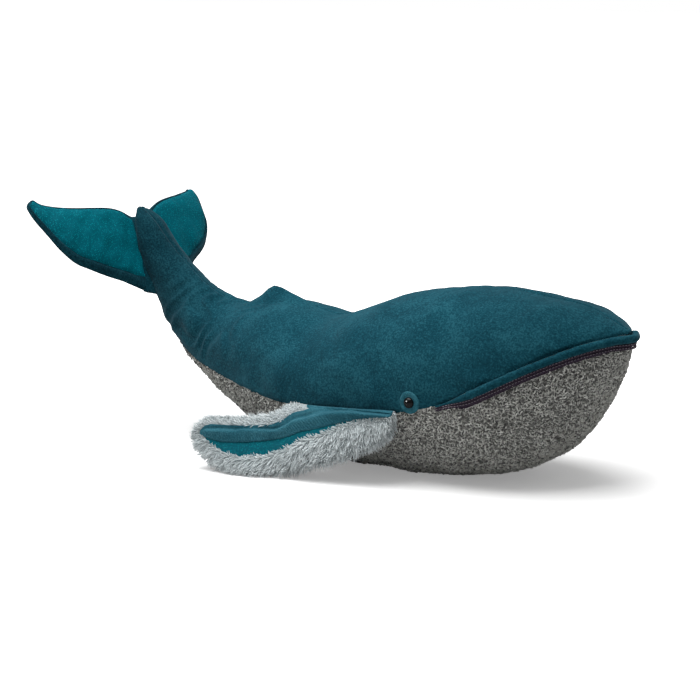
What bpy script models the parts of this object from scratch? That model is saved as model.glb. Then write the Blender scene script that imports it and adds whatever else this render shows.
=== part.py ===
"""Plush whale lying on its belly, built from its stuffing, its sewn cloth panels, its fins, flukes and eyes.

Metres, +Z up, +X towards the head, -Y on the whale's right. The origin is on the floor, under the middle.
"""

import math

import bmesh
import bpy
import numpy as np
from mathutils import Matrix, Vector

# Driving dimensions of the whole toy
BODY_LENGTH = 0.611
LIP_REACH = 0.320
BACK_HEIGHT = 0.1925
HEAD_HALF_WIDTH = 0.104

# Cloth, stuffing and the clearance between touching pieces
GAP = 0.0003
SEAM_GAP = 0.0006
SKIN = 0.0020
STUFFING_GAP = 0.0007
REST_CUT = 0.0005
POINT_WIDTH = 0.0015

# Dorsal fin pinched up out of the back seam
DORSAL_HEIGHT = 0.0145

# Mouth edge: one rolled piping over two rounded ridges of tape
PIPING_RADIUS = 0.0040
TRIM_RADIUS = 0.0017
MOUTH_START_RADIUS = 0.0009
LIP_PROUD = 0.0026
TRIM_PROUD = 0.0008
MOUTH_ROWS, PIPING_RINGS, TRIM_RINGS = 22, 45, 41

# Safety eye: dome and shank, felt ring on the velour, washer inside
EYE_RADIUS = 0.0050
EYE_DOME_HEIGHT = 0.0036
EYE_RING_RADIUS = 0.0112
EYE_RING_THICKNESS = 0.0012
EYE_SEAT = 0.0009
SHANK_RADIUS = 0.0020
SHANK_TAIL = 0.0016
WASHER_RADIUS = 0.0065
WASHER_THICKNESS = 0.0015

# Pectoral fins, sewn along the side seam
FIN_LENGTH = 0.222
FIN_SPREAD = 0.040
FIN_ROOT_RADIUS = 0.0045
FIN_SWELL = 0.0085
FIN_EDGE = 0.0022
FUR_BACKING = 0.0030
FIN_CLOTH = 0.0014
ROOT_CLEARANCE = 0.0007

# Tail flukes, sewn along both sides of the tail's tongue
FLUKE_SPAN = 0.1155
FLUKE_SWEEP = 0.071
FLUKE_RISE = 0.083
FLUKE_ROOT_RADIUS = 0.0036
FLUKE_SWELL = 0.0070
FLUKE_EDGE = 0.0018
FLUKE_CLOTH = 0.0014

# Cross sections from the tongue of the tail to the lip, as shares of the driving dimensions:
# ridge x, ridge height, keel x, keel height, half width, level of the widest place, arc of the side seam
SECTION_SHARES = (
    (0.002, 1.254, 0.000, 1.215, 0.08, 0.50, 0.000),
    (0.013, 1.240, 0.005, 1.160, 0.16, 0.42, 0.000),
    (0.038, 1.172, 0.013, 1.062, 0.21, 0.36, 0.000),
    (0.068, 1.070, 0.025, 0.948, 0.235, 0.36, 0.000),
    (0.095, 0.990, 0.042, 0.832, 0.255, 0.38, 0.000),
    (0.121, 0.922, 0.062, 0.710, 0.275, 0.42, 0.000),
    (0.151, 0.852, 0.084, 0.595, 0.30, 0.45, 0.080),
    (0.190, 0.793, 0.128, 0.450, 0.37, 0.48, 0.240),
    (0.232, 0.770, 0.182, 0.315, 0.46, 0.50, 0.350),
    (0.285, 0.793, 0.252, 0.190, 0.59, 0.50, 0.405),
    (0.339, 0.812, 0.314, 0.105, 0.71, 0.50, 0.425),
    (0.396, 0.787, 0.384, 0.035, 0.83, 0.50, 0.455),
    (0.445, 0.768, 0.442, 0.004, 0.91, 0.52, 0.470),
    (0.507, 0.821, 0.507, 0.000, 0.96, 0.52, 0.463),
    (0.576, 0.903, 0.576, 0.000, 0.99, 0.50, 0.446),
    (0.642, 0.959, 0.642, 0.000, 1.00, 0.48, 0.440),
    (0.699, 0.982, 0.699, 0.003, 1.00, 0.48, 0.457),
    (0.748, 0.993, 0.750, 0.024, 0.98, 0.47, 0.475),
    (0.797, 0.993, 0.799, 0.055, 0.95, 0.48, 0.503),
    (0.841, 0.980, 0.843, 0.101, 0.89, 0.52, 0.535),
    (0.882, 0.965, 0.883, 0.178, 0.79, 0.58, 0.561),
    (0.920, 0.944, 0.919, 0.287, 0.66, 0.62, 0.582),
    (0.951, 0.913, 0.948, 0.410, 0.50, 0.66, 0.604),
    (0.974, 0.880, 0.970, 0.537, 0.34, 0.69, 0.620),
    (0.989, 0.858, 0.986, 0.655, 0.19, 0.67, 0.620),
    (1.000, 0.847, 0.997, 0.738, 0.07, 0.60, 0.606),
)
FULLNESS_BELOW_SHARE = 2.35
FULLNESS_ABOVE_SHARE = 2.15

# Where things lie along the body, counted in sections from the tail
TAIL_CUT, NECK_CUT = 7.5, 16.5
BELLY_START = 6.0
MOUTH_CORNER, MOUTH_FULL, MOUTH_LAG = 16.9, 18.0, 0.25
MOUTH_FRONT, BELLY_END, BACK_END = 24.0, 24.6, 24.9
DORSAL_SHARES = ((8.45, 0.0), (8.9, 0.75), (9.25, 1.0), (9.6, 0.6), (10.1, 0.0))
FIN_ROOT_FRONT, FIN_ROOT_REAR = 15.5, 12.35
FLUKE_ROOT_LEAD, FLUKE_ROOT_NOTCH, FLUKE_ROOT_ARC_SHARE = 4.3, 0.5, 0.34
EYE_SECTION, EYE_LEVEL_SHARE = 15.95, 0.462

# Rows along the body and columns round half of it
BODY_ROWS = (
    [0.0, 0.5, 1.0, 2.0, 3.0, 4.0, 5.0, 6.0, 7.0, TAIL_CUT, 8.0, 8.45, 8.9, 9.25, 9.6, 10.1, 11.0]
    + [12.0, 13.0, 14.0, 15.0, 16.0, NECK_CUT, 17.0, 18.0, 19.0, 20.0, 21.0, 22.0, 23.0, 24.0, 25.0]
)
BELLY_COLUMNS, BACK_COLUMNS = 6, 7
ARC_STEPS, FRAME_STEP = 96, 0.05

# Fluke outline: share of the sweep back, of the span out and of the rise, from each end of the root
FLUKE_LEADING_SHARES = (
    (0.00, 0.00, 0.00),
    (0.12, 0.20, 0.12),
    (0.23, 0.38, 0.22),
    (0.30, 0.55, 0.32),
    (0.40, 0.69, 0.42),
    (0.52, 0.80, 0.59),
    (0.69, 0.86, 0.79),
    (0.84, 0.90, 0.97),
    (0.91, 0.89, 1.07),
)
FLUKE_TRAILING_SHARES = (
    (0.00, 0.00, 0.00),
    (0.03, 0.13, 0.11),
    (0.07, 0.26, 0.16),
    (0.13, 0.42, 0.18),
    (0.19, 0.58, 0.19),
    (0.27, 0.72, 0.20),
    (0.34, 0.82, 0.21),
    (0.40, 0.91, 0.23),
    (0.44, 0.95, 0.27),
)
FLUKE_ROW_SHARES = (0.0, 0.14, 0.30, 0.46, 0.62, 0.77, 0.89, 0.955, 1.0)
FLUKE_COLUMN_SHARES = (0.0, 0.08, 0.30, 0.55, 0.88, 0.95, 1.0)
FLUKE_RIM_COLUMNS = (1, 4)
FLUKE_TIP_CURL_SHARES = {-1: (0.085, 0.068, 0.086), 1: (0.079, 0.068, -0.070)}
FLUKE_TIP_CURL_POWER = 4

LEAF_TIP_SHARE = 0.05

# A leaf's root is half a cylinder about its hinge: shares of its radius outwards and across
ROOT_ROLL_SHARES = ((1.00, 0.12), (0.75, 0.66), (0.00, 1.00))

# Fin outline: share of the length back, of the spread out and of the drop to the floor, from the root's front
FIN_OUTER_SHARES = (
    (0.010, 0.04, 0.24),
    (0.035, 0.07, 0.31),
    (0.100, 0.16, 0.45),
    (0.240, 0.38, 0.64),
    (0.370, 0.53, 0.76),
    (0.520, 0.62, 0.93),
    (0.645, 0.88, 1.00),
    (0.790, 1.00, 1.00),
    (0.920, 1.00, 0.90),
    (1.000, 0.95, 0.72),
)
# The same for its free inner edge, from the root's rear, of what is left of the length
FIN_INNER_FREE_SHARES = (
    (0.165, 0.20, 0.16),
    (0.395, 0.32, 0.25),
    (0.650, 0.60, 0.29),
    (0.860, 0.92, 0.30),
    (0.990, 1.11, 0.49),
)
FIN_ROOT_ROW_SHARES = (0.0, 0.05, 0.33, 0.67, 1.0)
ROOT_SAMPLES, SEAT_PASSES, SEAT_SPLITS = 9, 3, 6
FIN_LAST_COLUMN_SHARE, FIN_ROOT_FADE_SHARE = 0.94, 0.25
FIN_RIM_COLUMNS, FIN_FOLD_COLUMN = (3, 7), 5
FIN_RIM_SHARES = (0.02, 0.02, 0.02, 0.02, 0.03, 0.05, 0.10, 0.10, 0.10, 0.12)
FIN_VELOUR_SHARES = (0.18, 0.19, 0.22, 0.30, 0.36, 0.44, 0.44, 0.46, 0.44, 0.42)
FIN_TEAL_SHARES = (0.24, 0.26, 0.31, 0.42, 0.51, 0.62, 0.68, 0.71, 0.70, 0.66)

BODY_COLOURS = {
    "velour": (0.030, 0.130, 0.165, 1.0),
    "boucle": (0.130, 0.130, 0.125, 1.0),
    "teal": (0.004, 0.120, 0.150, 1.0),
    "fur": (0.260, 0.310, 0.320, 1.0),
    "plum": (0.045, 0.030, 0.055, 1.0),
    "felt": (0.050, 0.160, 0.200, 1.0),
    "stuffing": (0.800, 0.790, 0.760, 1.0),
    "eye": (0.004, 0.004, 0.005, 1.0),
    "washer": (0.700, 0.700, 0.680, 1.0),
}
GLOSSY = {"eye": 0.05, "washer": 0.45}
COLOUR_OF = {"fur": "fur", "velour": "velour", "teal": "teal", "fill": "stuffing"}
SHARP_ANGLE = math.radians(50)


def clear_scene():
    """Remove every object that the file opened with."""
    for item in list(bpy.data.objects):
        bpy.data.objects.remove(item, do_unlink=True)


def finish(item, colour):
    """Give a piece its own material and smooth shading."""
    material = bpy.data.materials.new(item.name + "_finish")
    material.use_nodes = True
    shader = material.node_tree.nodes["Principled BSDF"]
    shader.inputs["Base Color"].default_value = BODY_COLOURS[colour]
    shader.inputs["Roughness"].default_value = GLOSSY.get(colour, 0.9)
    shader.inputs["Metallic"].default_value = 0.0
    item.data.materials.append(material)
    return item


def object_of(name, work, colour):
    """Turn a bmesh into a named object whose faces point out."""
    bmesh.ops.recalc_face_normals(work, faces=work.faces)
    mesh = bpy.data.meshes.new(name)
    work.to_mesh(mesh)
    work.free()
    mesh.shade_smooth()
    mesh.set_sharp_from_angle(angle=SHARP_ANGLE)
    item = bpy.data.objects.new(name, mesh)
    bpy.context.scene.collection.objects.link(item)
    return finish(item, colour)


def smooth_row(table, place):
    """Read a table of shares at a fractional row, on a Catmull-Rom curve."""
    rows = np.asarray(table, float)
    last = len(rows) - 1
    place = min(max(place, 0.0), float(last))
    low = min(int(place), last - 1)
    t = place - low
    before, start = rows[max(low - 1, 0)], rows[low]
    end, after = rows[low + 1], rows[min(low + 2, last)]
    turn_in, turn_out = (end - before) / 2, (after - start) / 2
    return (
        (2 * t**3 - 3 * t**2 + 1) * start
        + (t**3 - 2 * t**2 + t) * turn_in
        + (3 * t**2 - 2 * t**3) * end
        + (t**3 - t**2) * turn_out
    )


def body_x(share):
    """Place along the body's length, from the tail's tongue at 0 to the lip at 1."""
    return LIP_REACH - BODY_LENGTH * (1 - share)


def section(place):
    """Half a cross section, keel to ridge on the whale's right, with its arc lengths and the seam's arc."""
    row = smooth_row(SECTION_SHARES, place)
    ridge = np.array([body_x(row[0]), 0, BACK_HEIGHT * row[1] - REST_CUT])
    keel = np.array([body_x(row[2]), 0, BACK_HEIGHT * row[3] - REST_CUT])
    width, widest = HEAD_HALF_WIDTH * row[4], row[5]
    turn = np.linspace(0, math.pi, ARC_STEPS)
    power = np.where(turn < math.pi / 2, FULLNESS_BELOW_SHARE, FULLNESS_ABOVE_SHARE)
    rise = -np.sign(np.cos(turn)) * np.abs(np.cos(turn)) ** (2 / power)
    level = np.where(rise < 0, widest + widest * rise, widest + (1 - widest) * rise)
    out = -width * np.sin(turn) ** (2 / power)
    out[0] = out[-1] = 0
    points = keel + np.outer(level, ridge - keel)
    points[:, 1] = out
    arc = np.r_[0, np.cumsum(np.linalg.norm(np.diff(points, axis=0), axis=1))]
    return points, arc, arc[-1] * max(row[6], 0.0)


def at_arc(points, arc, where):
    """The point at an arc length along a section."""
    return np.array([np.interp(where, arc, points[:, k]) for k in range(3)])


def mouth_open(place):
    """How far the mouth's channel has opened in the cloth, from 0 at its corner to 1."""
    t = min(max((place - MOUTH_CORNER) / (MOUTH_FULL - MOUTH_CORNER), 0.0), 1.0)
    return t * t * (3 - 2 * t)


def panel_edges(place):
    """Arc lengths of the belly panel's upper edge and the back panel's lower edge."""
    _, arc, seam = section(place)
    opened = mouth_open(place)
    belly = seam - SEAM_GAP / 2 - opened * (PIPING_RADIUS + 4 * TRIM_RADIUS + 3 * GAP)
    belly = max(belly, POINT_WIDTH)
    back = max(seam + SEAM_GAP / 2 + opened * PIPING_RADIUS, belly + SEAM_GAP)
    return belly, min(back, arc[-1] - POINT_WIDTH)


def half_row(place):
    """Points from the keel to the ridge at one place: the belly's columns, then the back's."""
    points, arc, _ = section(place)
    belly, back = panel_edges(place)
    below = np.linspace(0, belly, BELLY_COLUMNS + 1)
    above = np.linspace(back, arc[-1], BACK_COLUMNS + 1)
    return np.array([at_arc(points, arc, a) for a in np.r_[below, above]])


def dorsal_lift(place):
    """Height of the dorsal fin's crest above the back at one place."""
    places, heights = zip(*DORSAL_SHARES)
    return DORSAL_HEIGHT * float(np.interp(place, places, heights))


def body_grid(places):
    """Rings round the body, each from the keel up the right side, over the ridge and down the left."""
    rings = []
    for place in places:
        right = half_row(place)
        right[-1, 2] += dorsal_lift(place)
        left = right[-2:0:-1] * np.array([1, -1, 1])
        rings.append(np.vstack([right, left]))
    return np.array(rings)


def unit(vectors):
    """Vectors scaled to length 1."""
    return vectors / np.linalg.norm(vectors, axis=-1, keepdims=True)


def ring_normals(grid):
    """Outward normals of a grid of closed rings."""
    along = np.gradient(grid, axis=0)
    round_ring = np.roll(grid, -1, axis=1) - np.roll(grid, 1, axis=1)
    normals = unit(np.cross(along, round_ring))
    outward = grid - grid.mean(axis=1, keepdims=True)
    normals = normals * np.sign((normals * outward).sum(axis=-1, keepdims=True))
    for below in (BELLY_COLUMNS, -BELLY_COLUMNS - 1):
        shared = unit(normals[:, below] + normals[:, below + 1])
        normals[:, below] = normals[:, below + 1] = shared
    return normals


def two_triangles(work, a, b, c, d, turned_over):
    """Fill four corners with two triangles, split between a and c or else between b and d."""
    for corners in (((b, c, d), (b, d, a)) if turned_over else ((a, b, c), (a, c, d))):
        work.faces.new(corners)


def closed_rings(name, grid, colour):
    """A closed solid from rings, with a fan over each end and the same triangles left and right."""
    work = bmesh.new()
    rings = [[work.verts.new(p) for p in ring] for ring in grid]
    count = len(rings[0])
    for a, b in zip(rings, rings[1:]):
        for j in range(count):
            k = (j + 1) % count
            two_triangles(work, a[j], a[k], b[k], b[j], turned_over=j >= count // 2)
    for ring, points in ((rings[0], grid[0]), (rings[-1], grid[-1])):
        centre = work.verts.new(points.mean(axis=0))
        for j in range(count):
            work.faces.new((ring[j], ring[(j + 1) % count], centre))
    return object_of(name, work, colour)


def closed_sheet(name, top, bottom, colour, middle=0):
    """A closed solid between two open grids of the same size, mirrored about the middle column."""
    work = bmesh.new()
    upper = [[work.verts.new(p) for p in row] for row in top]
    lower = [[work.verts.new(p) for p in row] for row in bottom]
    rows, columns = len(upper), len(upper[0])
    for sheet in (upper, lower):
        for i in range(rows - 1):
            for j in range(columns - 1):
                a, b = sheet[i][j], sheet[i + 1][j]
                c, d = sheet[i + 1][j + 1], sheet[i][j + 1]
                two_triangles(work, a, b, c, d, turned_over=j < middle)
    rim = [(i, 0) for i in range(rows)] + [(rows - 1, j) for j in range(1, columns)]
    rim += [(i, columns - 1) for i in range(rows - 2, -1, -1)] + [(0, j) for j in range(columns - 2, 0, -1)]
    for (i, j), (k, m) in zip(rim, rim[1:] + rim[:1]):
        work.faces.new((upper[i][j], upper[k][m], lower[k][m], lower[i][j]))
    bmesh.ops.remove_doubles(work, verts=work.verts, dist=GAP / 100)
    bmesh.ops.dissolve_degenerate(work, edges=work.edges, dist=GAP / 100)
    return object_of(name, work, colour)


def stuffing(name, first, last):
    """The stuffing between two places, one skin and one gap inside the cloth."""
    step = 2 * GAP / BODY_LENGTH * len(SECTION_SHARES)
    start = first + step if first > 0 else first
    end = last - step if last < len(SECTION_SHARES) - 1 else last
    places = [start] + [p for p in BODY_ROWS if start < p < end] + [end]
    grid = body_grid(places)
    inner = grid - (SKIN + STUFFING_GAP) * ring_normals(grid)
    return closed_rings(name, inner, "stuffing")


def panel_rows(first, last):
    """Rows of the body grid between two places, with their normals."""
    places = [first] + [p for p in BODY_ROWS if first < p < last] + [last]
    grid = body_grid(places)
    return grid, ring_normals(grid)


def back_panel(name, side):
    """One side of the velour back, from the side seam to the seam along the ridge."""
    grid, normals = panel_rows(0.0, BACK_END)
    beyond_belly = [k for k, place in enumerate(BODY_ROWS) if place < BELLY_START]
    columns = slice(BELLY_COLUMNS + 1, BELLY_COLUMNS + BACK_COLUMNS + 2)
    outer, outward = grid[:, columns].copy(), normals[:, columns].copy()
    inner = outer - SKIN * outward
    for sheet in (outer, inner):
        sheet[:, -1, 1] = -GAP / 2
        sheet[beyond_belly, 0, 1] = -GAP / 2
        sheet[:, :, 1] = np.minimum(sheet[:, :, 1], -GAP / 2)
        sheet[:, :, 1] *= -side
    return closed_sheet(name, outer, inner, "velour")


def belly_panel():
    """The curly belly cloth, from the chin to its point under the tail, flat where the toy rests."""
    grid, normals = panel_rows(BELLY_START, BELLY_END)
    columns = list(range(-BELLY_COLUMNS, BELLY_COLUMNS + 1))
    outer, outward = grid[:, columns], normals[:, columns]
    inner = outer - SKIN * outward
    panel = closed_sheet("belly_panel", outer, inner, "boucle", middle=BELLY_COLUMNS)
    work = bmesh.new()
    bmesh.ops.create_cube(work, size=1)
    floor = bpy.data.meshes.new("floor_cutter")
    reach = Matrix.Diagonal((2 * BODY_LENGTH, BODY_LENGTH, BACK_HEIGHT, 1))
    work.transform(Matrix.Translation((0, 0, -BACK_HEIGHT / 2)) @ reach)
    work.to_mesh(floor)
    work.free()
    return cut(panel, cutter("floor_cutter", floor))


def cutter(name, mesh):
    """A guide that only cuts other pieces."""
    item = bpy.data.objects.new(name, mesh)
    bpy.context.scene.collection.objects.link(item)
    item.hide_render = True
    item.display_type = "WIRE"
    return item


def cut(item, tool):
    """Take one shape away from a piece."""
    modifier = item.modifiers.new(tool.name, "BOOLEAN")
    modifier.operation = "DIFFERENCE"
    modifier.solver = "EXACT"
    modifier.object = tool
    return item


def surface_frame(place, arc_place):
    """A point of the right side's surface with its outward normal."""
    around = [section(place + step) for step in (-FRAME_STEP, 0, FRAME_STEP)]
    shares = arc_place / around[1][1][-1]
    here = [at_arc(points, arc, shares * arc[-1]) for points, arc, _ in around]
    points, arc, _ = around[1]
    low = at_arc(points, arc, arc_place - PIPING_RADIUS)
    high = at_arc(points, arc, arc_place + PIPING_RADIUS)
    normal = unit(np.cross(here[2] - here[0], high - low))
    return here[1], normal * (-1 if normal[1] > 0 else 1)


def lip_path(drop, order, proud, radius):
    """A line round the mouth's edge with its radius: drop below the piping, and proud of the skin."""
    right = []
    start_drop = order * (2 * MOUTH_START_RADIUS + GAP)
    start_proud = MOUTH_START_RADIUS + 2 * GAP
    for place in np.linspace(MOUTH_CORNER, MOUTH_FRONT, MOUTH_ROWS):
        opened = mouth_open(place - MOUTH_LAG)
        _, _, seam = section(place)
        point, normal = surface_frame(place, seam - drop * opened - start_drop * (1 - opened))
        centre = point + (proud * opened + start_proud * (1 - opened)) * normal
        right.append(np.r_[centre, radius * opened + MOUTH_START_RADIUS * (1 - opened)])
    tip, _, _ = section(len(SECTION_SHARES) - 1)
    level = right[-1][2] + (right[-1][2] - right[-3][2]) / 2
    apex = np.array([tip[:, 0].max() + PIPING_RADIUS + GAP, 0, level, radius])
    left = [p * np.array([1, -1, 1, 1]) for p in right[::-1]]
    return np.array(right + [apex] + left)


def smooth_path(points, count):
    """Evenly spaced points, with their radii, on a smooth curve through the given ones."""
    last = len(points) - 1
    fine = np.array([smooth_row(points, t) for t in np.linspace(0, last, 8 * last + 1)])
    run = np.r_[0, np.cumsum(np.linalg.norm(np.diff(fine[:, :3], axis=0), axis=1))]
    even = np.linspace(0, run[-1], count)
    return np.stack([np.interp(even, run, fine[:, k]) for k in range(4)], axis=1)


def tube(name, points, radius, resolution, colour):
    """A tube along a line whose points each carry their own radius."""
    data = bpy.data.curves.new(name, "CURVE")
    data.dimensions = "3D"
    data.bevel_depth = radius
    data.bevel_resolution = resolution
    data.use_fill_caps = True
    spline = data.splines.new("POLY")
    spline.points.add(len(points) - 1)
    for k, point in enumerate(points):
        spline.points[k].co = (*point[:3], 1)
        spline.points[k].radius = point[3] / radius
    item = bpy.data.objects.new(name, data)
    bpy.context.scene.collection.objects.link(item)
    return finish(item, colour)


def mouth():
    """The rolled lip piping and the two ridges of tape under it."""
    first = PIPING_RADIUS + GAP + TRIM_RADIUS
    second = first + GAP + 2 * TRIM_RADIUS
    for name, drop, order, proud, radius, rings, resolution, colour in (
        ("lip_piping", 0, 0, LIP_PROUD, PIPING_RADIUS, PIPING_RINGS, 2, "velour"),
        ("mouth_trim_upper", first, 1, TRIM_PROUD, TRIM_RADIUS, TRIM_RINGS, 1, "plum"),
        ("mouth_trim_lower", second, 2, TRIM_PROUD, TRIM_RADIUS, TRIM_RINGS, 1, "plum"),
    ):
        path = smooth_path(lip_path(drop, order, proud, radius), rings)
        tube(name, path, radius, resolution, colour)


def turned(name, profile, colour, segments=20):
    """A turned solid whose profile runs round the local Z axis."""
    work = bmesh.new()
    points = [work.verts.new((r, 0, z)) for r, z in profile]
    closed = points + [points[0]]
    edges = [work.edges.new(pair) for pair in zip(closed, closed[1:]) if pair[0] is not pair[1]]
    bmesh.ops.spin(
        work, geom=points + edges, cent=(0, 0, 0), axis=(0, 0, 1), angle=2 * math.pi, steps=segments
    )
    bmesh.ops.remove_doubles(work, verts=work.verts, dist=GAP / 100)
    return object_of(name, work, colour)


def mirrored(matrix, side):
    """A placement for the right side, or its mirror image turned back to a plain rotation."""
    if side < 0:
        return matrix
    flip = Matrix.Diagonal((1, -1, 1, 1))
    return flip @ matrix @ flip


def eye(label, side, back, trunk):
    """One safety eye: dome on its shank, felt ring, inside washer, and the holes they need."""
    points, arc, _ = section(EYE_SECTION)
    level = (points[:, 2] - points[0, 2]) / (points[-1, 2] - points[0, 2])
    centre, normal = surface_frame(EYE_SECTION, float(np.interp(EYE_LEVEL_SHARE, level, arc)))
    turn = Vector(normal).to_track_quat("Z", "Y").to_matrix().to_4x4()
    place = mirrored(Matrix.Translation(centre) @ turn, side)
    ring_top = EYE_SEAT + EYE_RING_THICKNESS
    washer_top = -SKIN - EYE_SEAT
    washer_bottom = washer_top - WASHER_THICKNESS
    shank_end = washer_bottom - SHANK_TAIL
    dome = [
        (EYE_RADIUS * math.cos(a), ring_top + GAP + EYE_DOME_HEIGHT * math.sin(a))
        for a in np.linspace(0, math.pi / 2, 7)
    ]
    dome[-1] = (0, dome[-1][1])
    profile = [(0, shank_end), (SHANK_RADIUS, shank_end), (SHANK_RADIUS, ring_top + GAP)] + dome
    hole = SHANK_RADIUS + GAP
    ring = [(hole, EYE_SEAT), (EYE_RING_RADIUS, EYE_SEAT), (EYE_RING_RADIUS, ring_top), (hole, ring_top)]
    washer = [
        (hole, washer_bottom),
        (WASHER_RADIUS, washer_bottom),
        (WASHER_RADIUS, washer_top),
        (hole, washer_top),
    ]
    turned("eye_" + label, profile, "eye").matrix_world = place
    turned("eye_ring_" + label, ring, "felt").matrix_world = place
    turned("eye_washer_" + label, washer, "washer").matrix_world = place
    for name, radius, low, high, target in (
        ("shank_hole_", hole, -2 * SKIN - EYE_SEAT, 2 * SKIN, back),
        ("washer_pocket_", WASHER_RADIUS + GAP, shank_end - GAP, WASHER_RADIUS, trunk),
    ):
        work = bmesh.new()
        bmesh.ops.create_cone(
            work, cap_ends=True, segments=16, radius1=radius, radius2=radius, depth=high - low
        )
        work.transform(Matrix.Translation((0, 0, (high + low) / 2)))
        mesh = bpy.data.meshes.new(name + label)
        work.to_mesh(mesh)
        work.free()
        tool = cutter(name + label, mesh)
        tool.matrix_world = place
        cut(target, tool)


def skin_points():
    """Points spread over the right side of the cloth, on its flat facets."""
    rings = body_grid(BODY_ROWS)[:, :BELLY_COLUMNS + BACK_COLUMNS + 2]
    for axis in (0, 1):
        a, b = (rings[:-1], rings[1:]) if axis == 0 else (rings[:, :-1], rings[:, 1:])
        steps = [a + (b - a) * k / SEAT_SPLITS for k in range(SEAT_SPLITS)]
        rings = np.concatenate(steps, axis=axis)
    return rings.reshape(-1, 3)


def nearest_to_line(points, start, end):
    """The least distance from points to a straight line between two ends."""
    span = end - start
    along = np.clip((points - start) @ span / (span @ span), 0, 1)
    return np.linalg.norm(points - start - along[:, None] * span, axis=1).min()


def root_line(first, last, level_share, radius):
    """A straight sewn root beside the body, where a root of that radius lies a clearance off the cloth."""
    middles = []
    for place in np.linspace(first, last, ROOT_SAMPLES):
        _, arc, seam = section(place)
        where = level_share * arc[-1] if level_share > 0 else seam
        point, normal = surface_frame(place, where)
        middles.append((point, normal))
    start, end = middles[0][0], middles[-1][0]
    along = unit(end - start)
    out = unit(np.mean([n for _, n in middles], axis=0))
    out = unit(out - along * (out @ along))
    shift = out * (max((point - start) @ out for point, _ in middles) + radius)
    start, end = start + shift, end + shift
    cloth = skin_points()
    for _ in range(SEAT_PASSES):
        shift = out * (radius + ROOT_CLEARANCE - nearest_to_line(cloth, start, end))
        start, end = start + shift, end + shift
    return start, end


def resample(points, shares):
    """Points of a smooth edge at shares of its rows."""
    last = len(points) - 1
    return np.array([smooth_row(points, s * last) for s in shares])


def leaf_surfaces(inner, outer, columns, thickness):
    """The upper and lower faces of a stuffed leaf between two edges, with one normal for each row."""
    middle = inner[:, None] + (outer - inner)[:, None] * columns[..., None]
    along = np.gradient(middle.mean(axis=1), axis=0)
    normal = np.broadcast_to(unit(np.cross(along, outer - inner))[:, None], middle.shape)
    return middle + thickness[..., None] * normal, middle - thickness[..., None] * normal, normal


def leaf_thickness(columns, rows, root, swell, edge, at_root):
    """Half thickness of a leaf: round where it is sewn, swollen in the middle, thin at its free edges."""
    crown = np.sqrt(np.clip(1 - (2 * columns - 1) ** 2, 0, 1))
    fade = np.sqrt(np.clip(1 - rows**3, LEAF_TIP_SHARE, 1))[:, None]
    return edge + (swell - edge) * crown * fade + (root - edge) * at_root


def to_side(points, side):
    """The right side's points, or their mirror image on the left."""
    return points if side < 0 else points * np.array([1, -1, 1])


def hang(pieces, start, end, side):
    """Move the pieces' origins onto the middle of the hinge line that they turn about."""
    origin = Vector(to_side((start + end) / 2, side))
    for piece in pieces:
        piece.data.transform(Matrix.Translation(-origin))
        piece.location = origin


def fluke(label, side):
    """One tail fluke: stuffing between a teal face and a velour back that rolls over its edge."""
    lead, notch = root_line(FLUKE_ROOT_LEAD, FLUKE_ROOT_NOTCH, FLUKE_ROOT_ARC_SHARE, FLUKE_ROOT_RADIUS)
    size = np.array([-FLUKE_SWEEP, -FLUKE_SPAN, FLUKE_RISE])
    rows = np.array(FLUKE_ROW_SHARES)
    curl = rows[:, None] ** FLUKE_TIP_CURL_POWER * np.array(FLUKE_TIP_CURL_SHARES[side]) * size
    leading = resample(lead + np.array(FLUKE_LEADING_SHARES) * size, rows) + curl
    trailing = resample(notch + np.array(FLUKE_TRAILING_SHARES) * size, rows) + curl
    root = unit(notch - lead)
    level = unit(np.cross([0.0, 1.0, 0.0], root))
    out = -unit(np.cross(root, level))
    rolled = [FLUKE_ROOT_RADIUS * share * out for share, _ in ROOT_ROLL_SHARES]
    leading = np.vstack([[leading[0] - step for step in rolled], leading[1:]])
    trailing = np.vstack([[trailing[0] - step for step in rolled], trailing[1:]])
    rows = np.r_[0, 0, rows]
    columns = np.tile(FLUKE_COLUMN_SHARES, (len(rows), 1))
    thickness = leaf_thickness(columns, rows, FLUKE_EDGE, FLUKE_SWELL, FLUKE_EDGE, np.zeros_like(columns))
    for i, (_, share) in enumerate(ROOT_ROLL_SHARES):
        thickness[i] = FLUKE_ROOT_RADIUS * share
    last_whole = len(rows) - 2
    pieces = build_leaf(
        "fluke_", label, side, trailing, leading, columns, thickness, first=2, tip=last_whole,
        rim=FLUKE_RIM_COLUMNS, floor=FLUKE_CLOTH, cloth=FLUKE_CLOTH, names=("velour", "teal")
    )
    hang(pieces, lead, notch, side)
    return lead, notch


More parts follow.
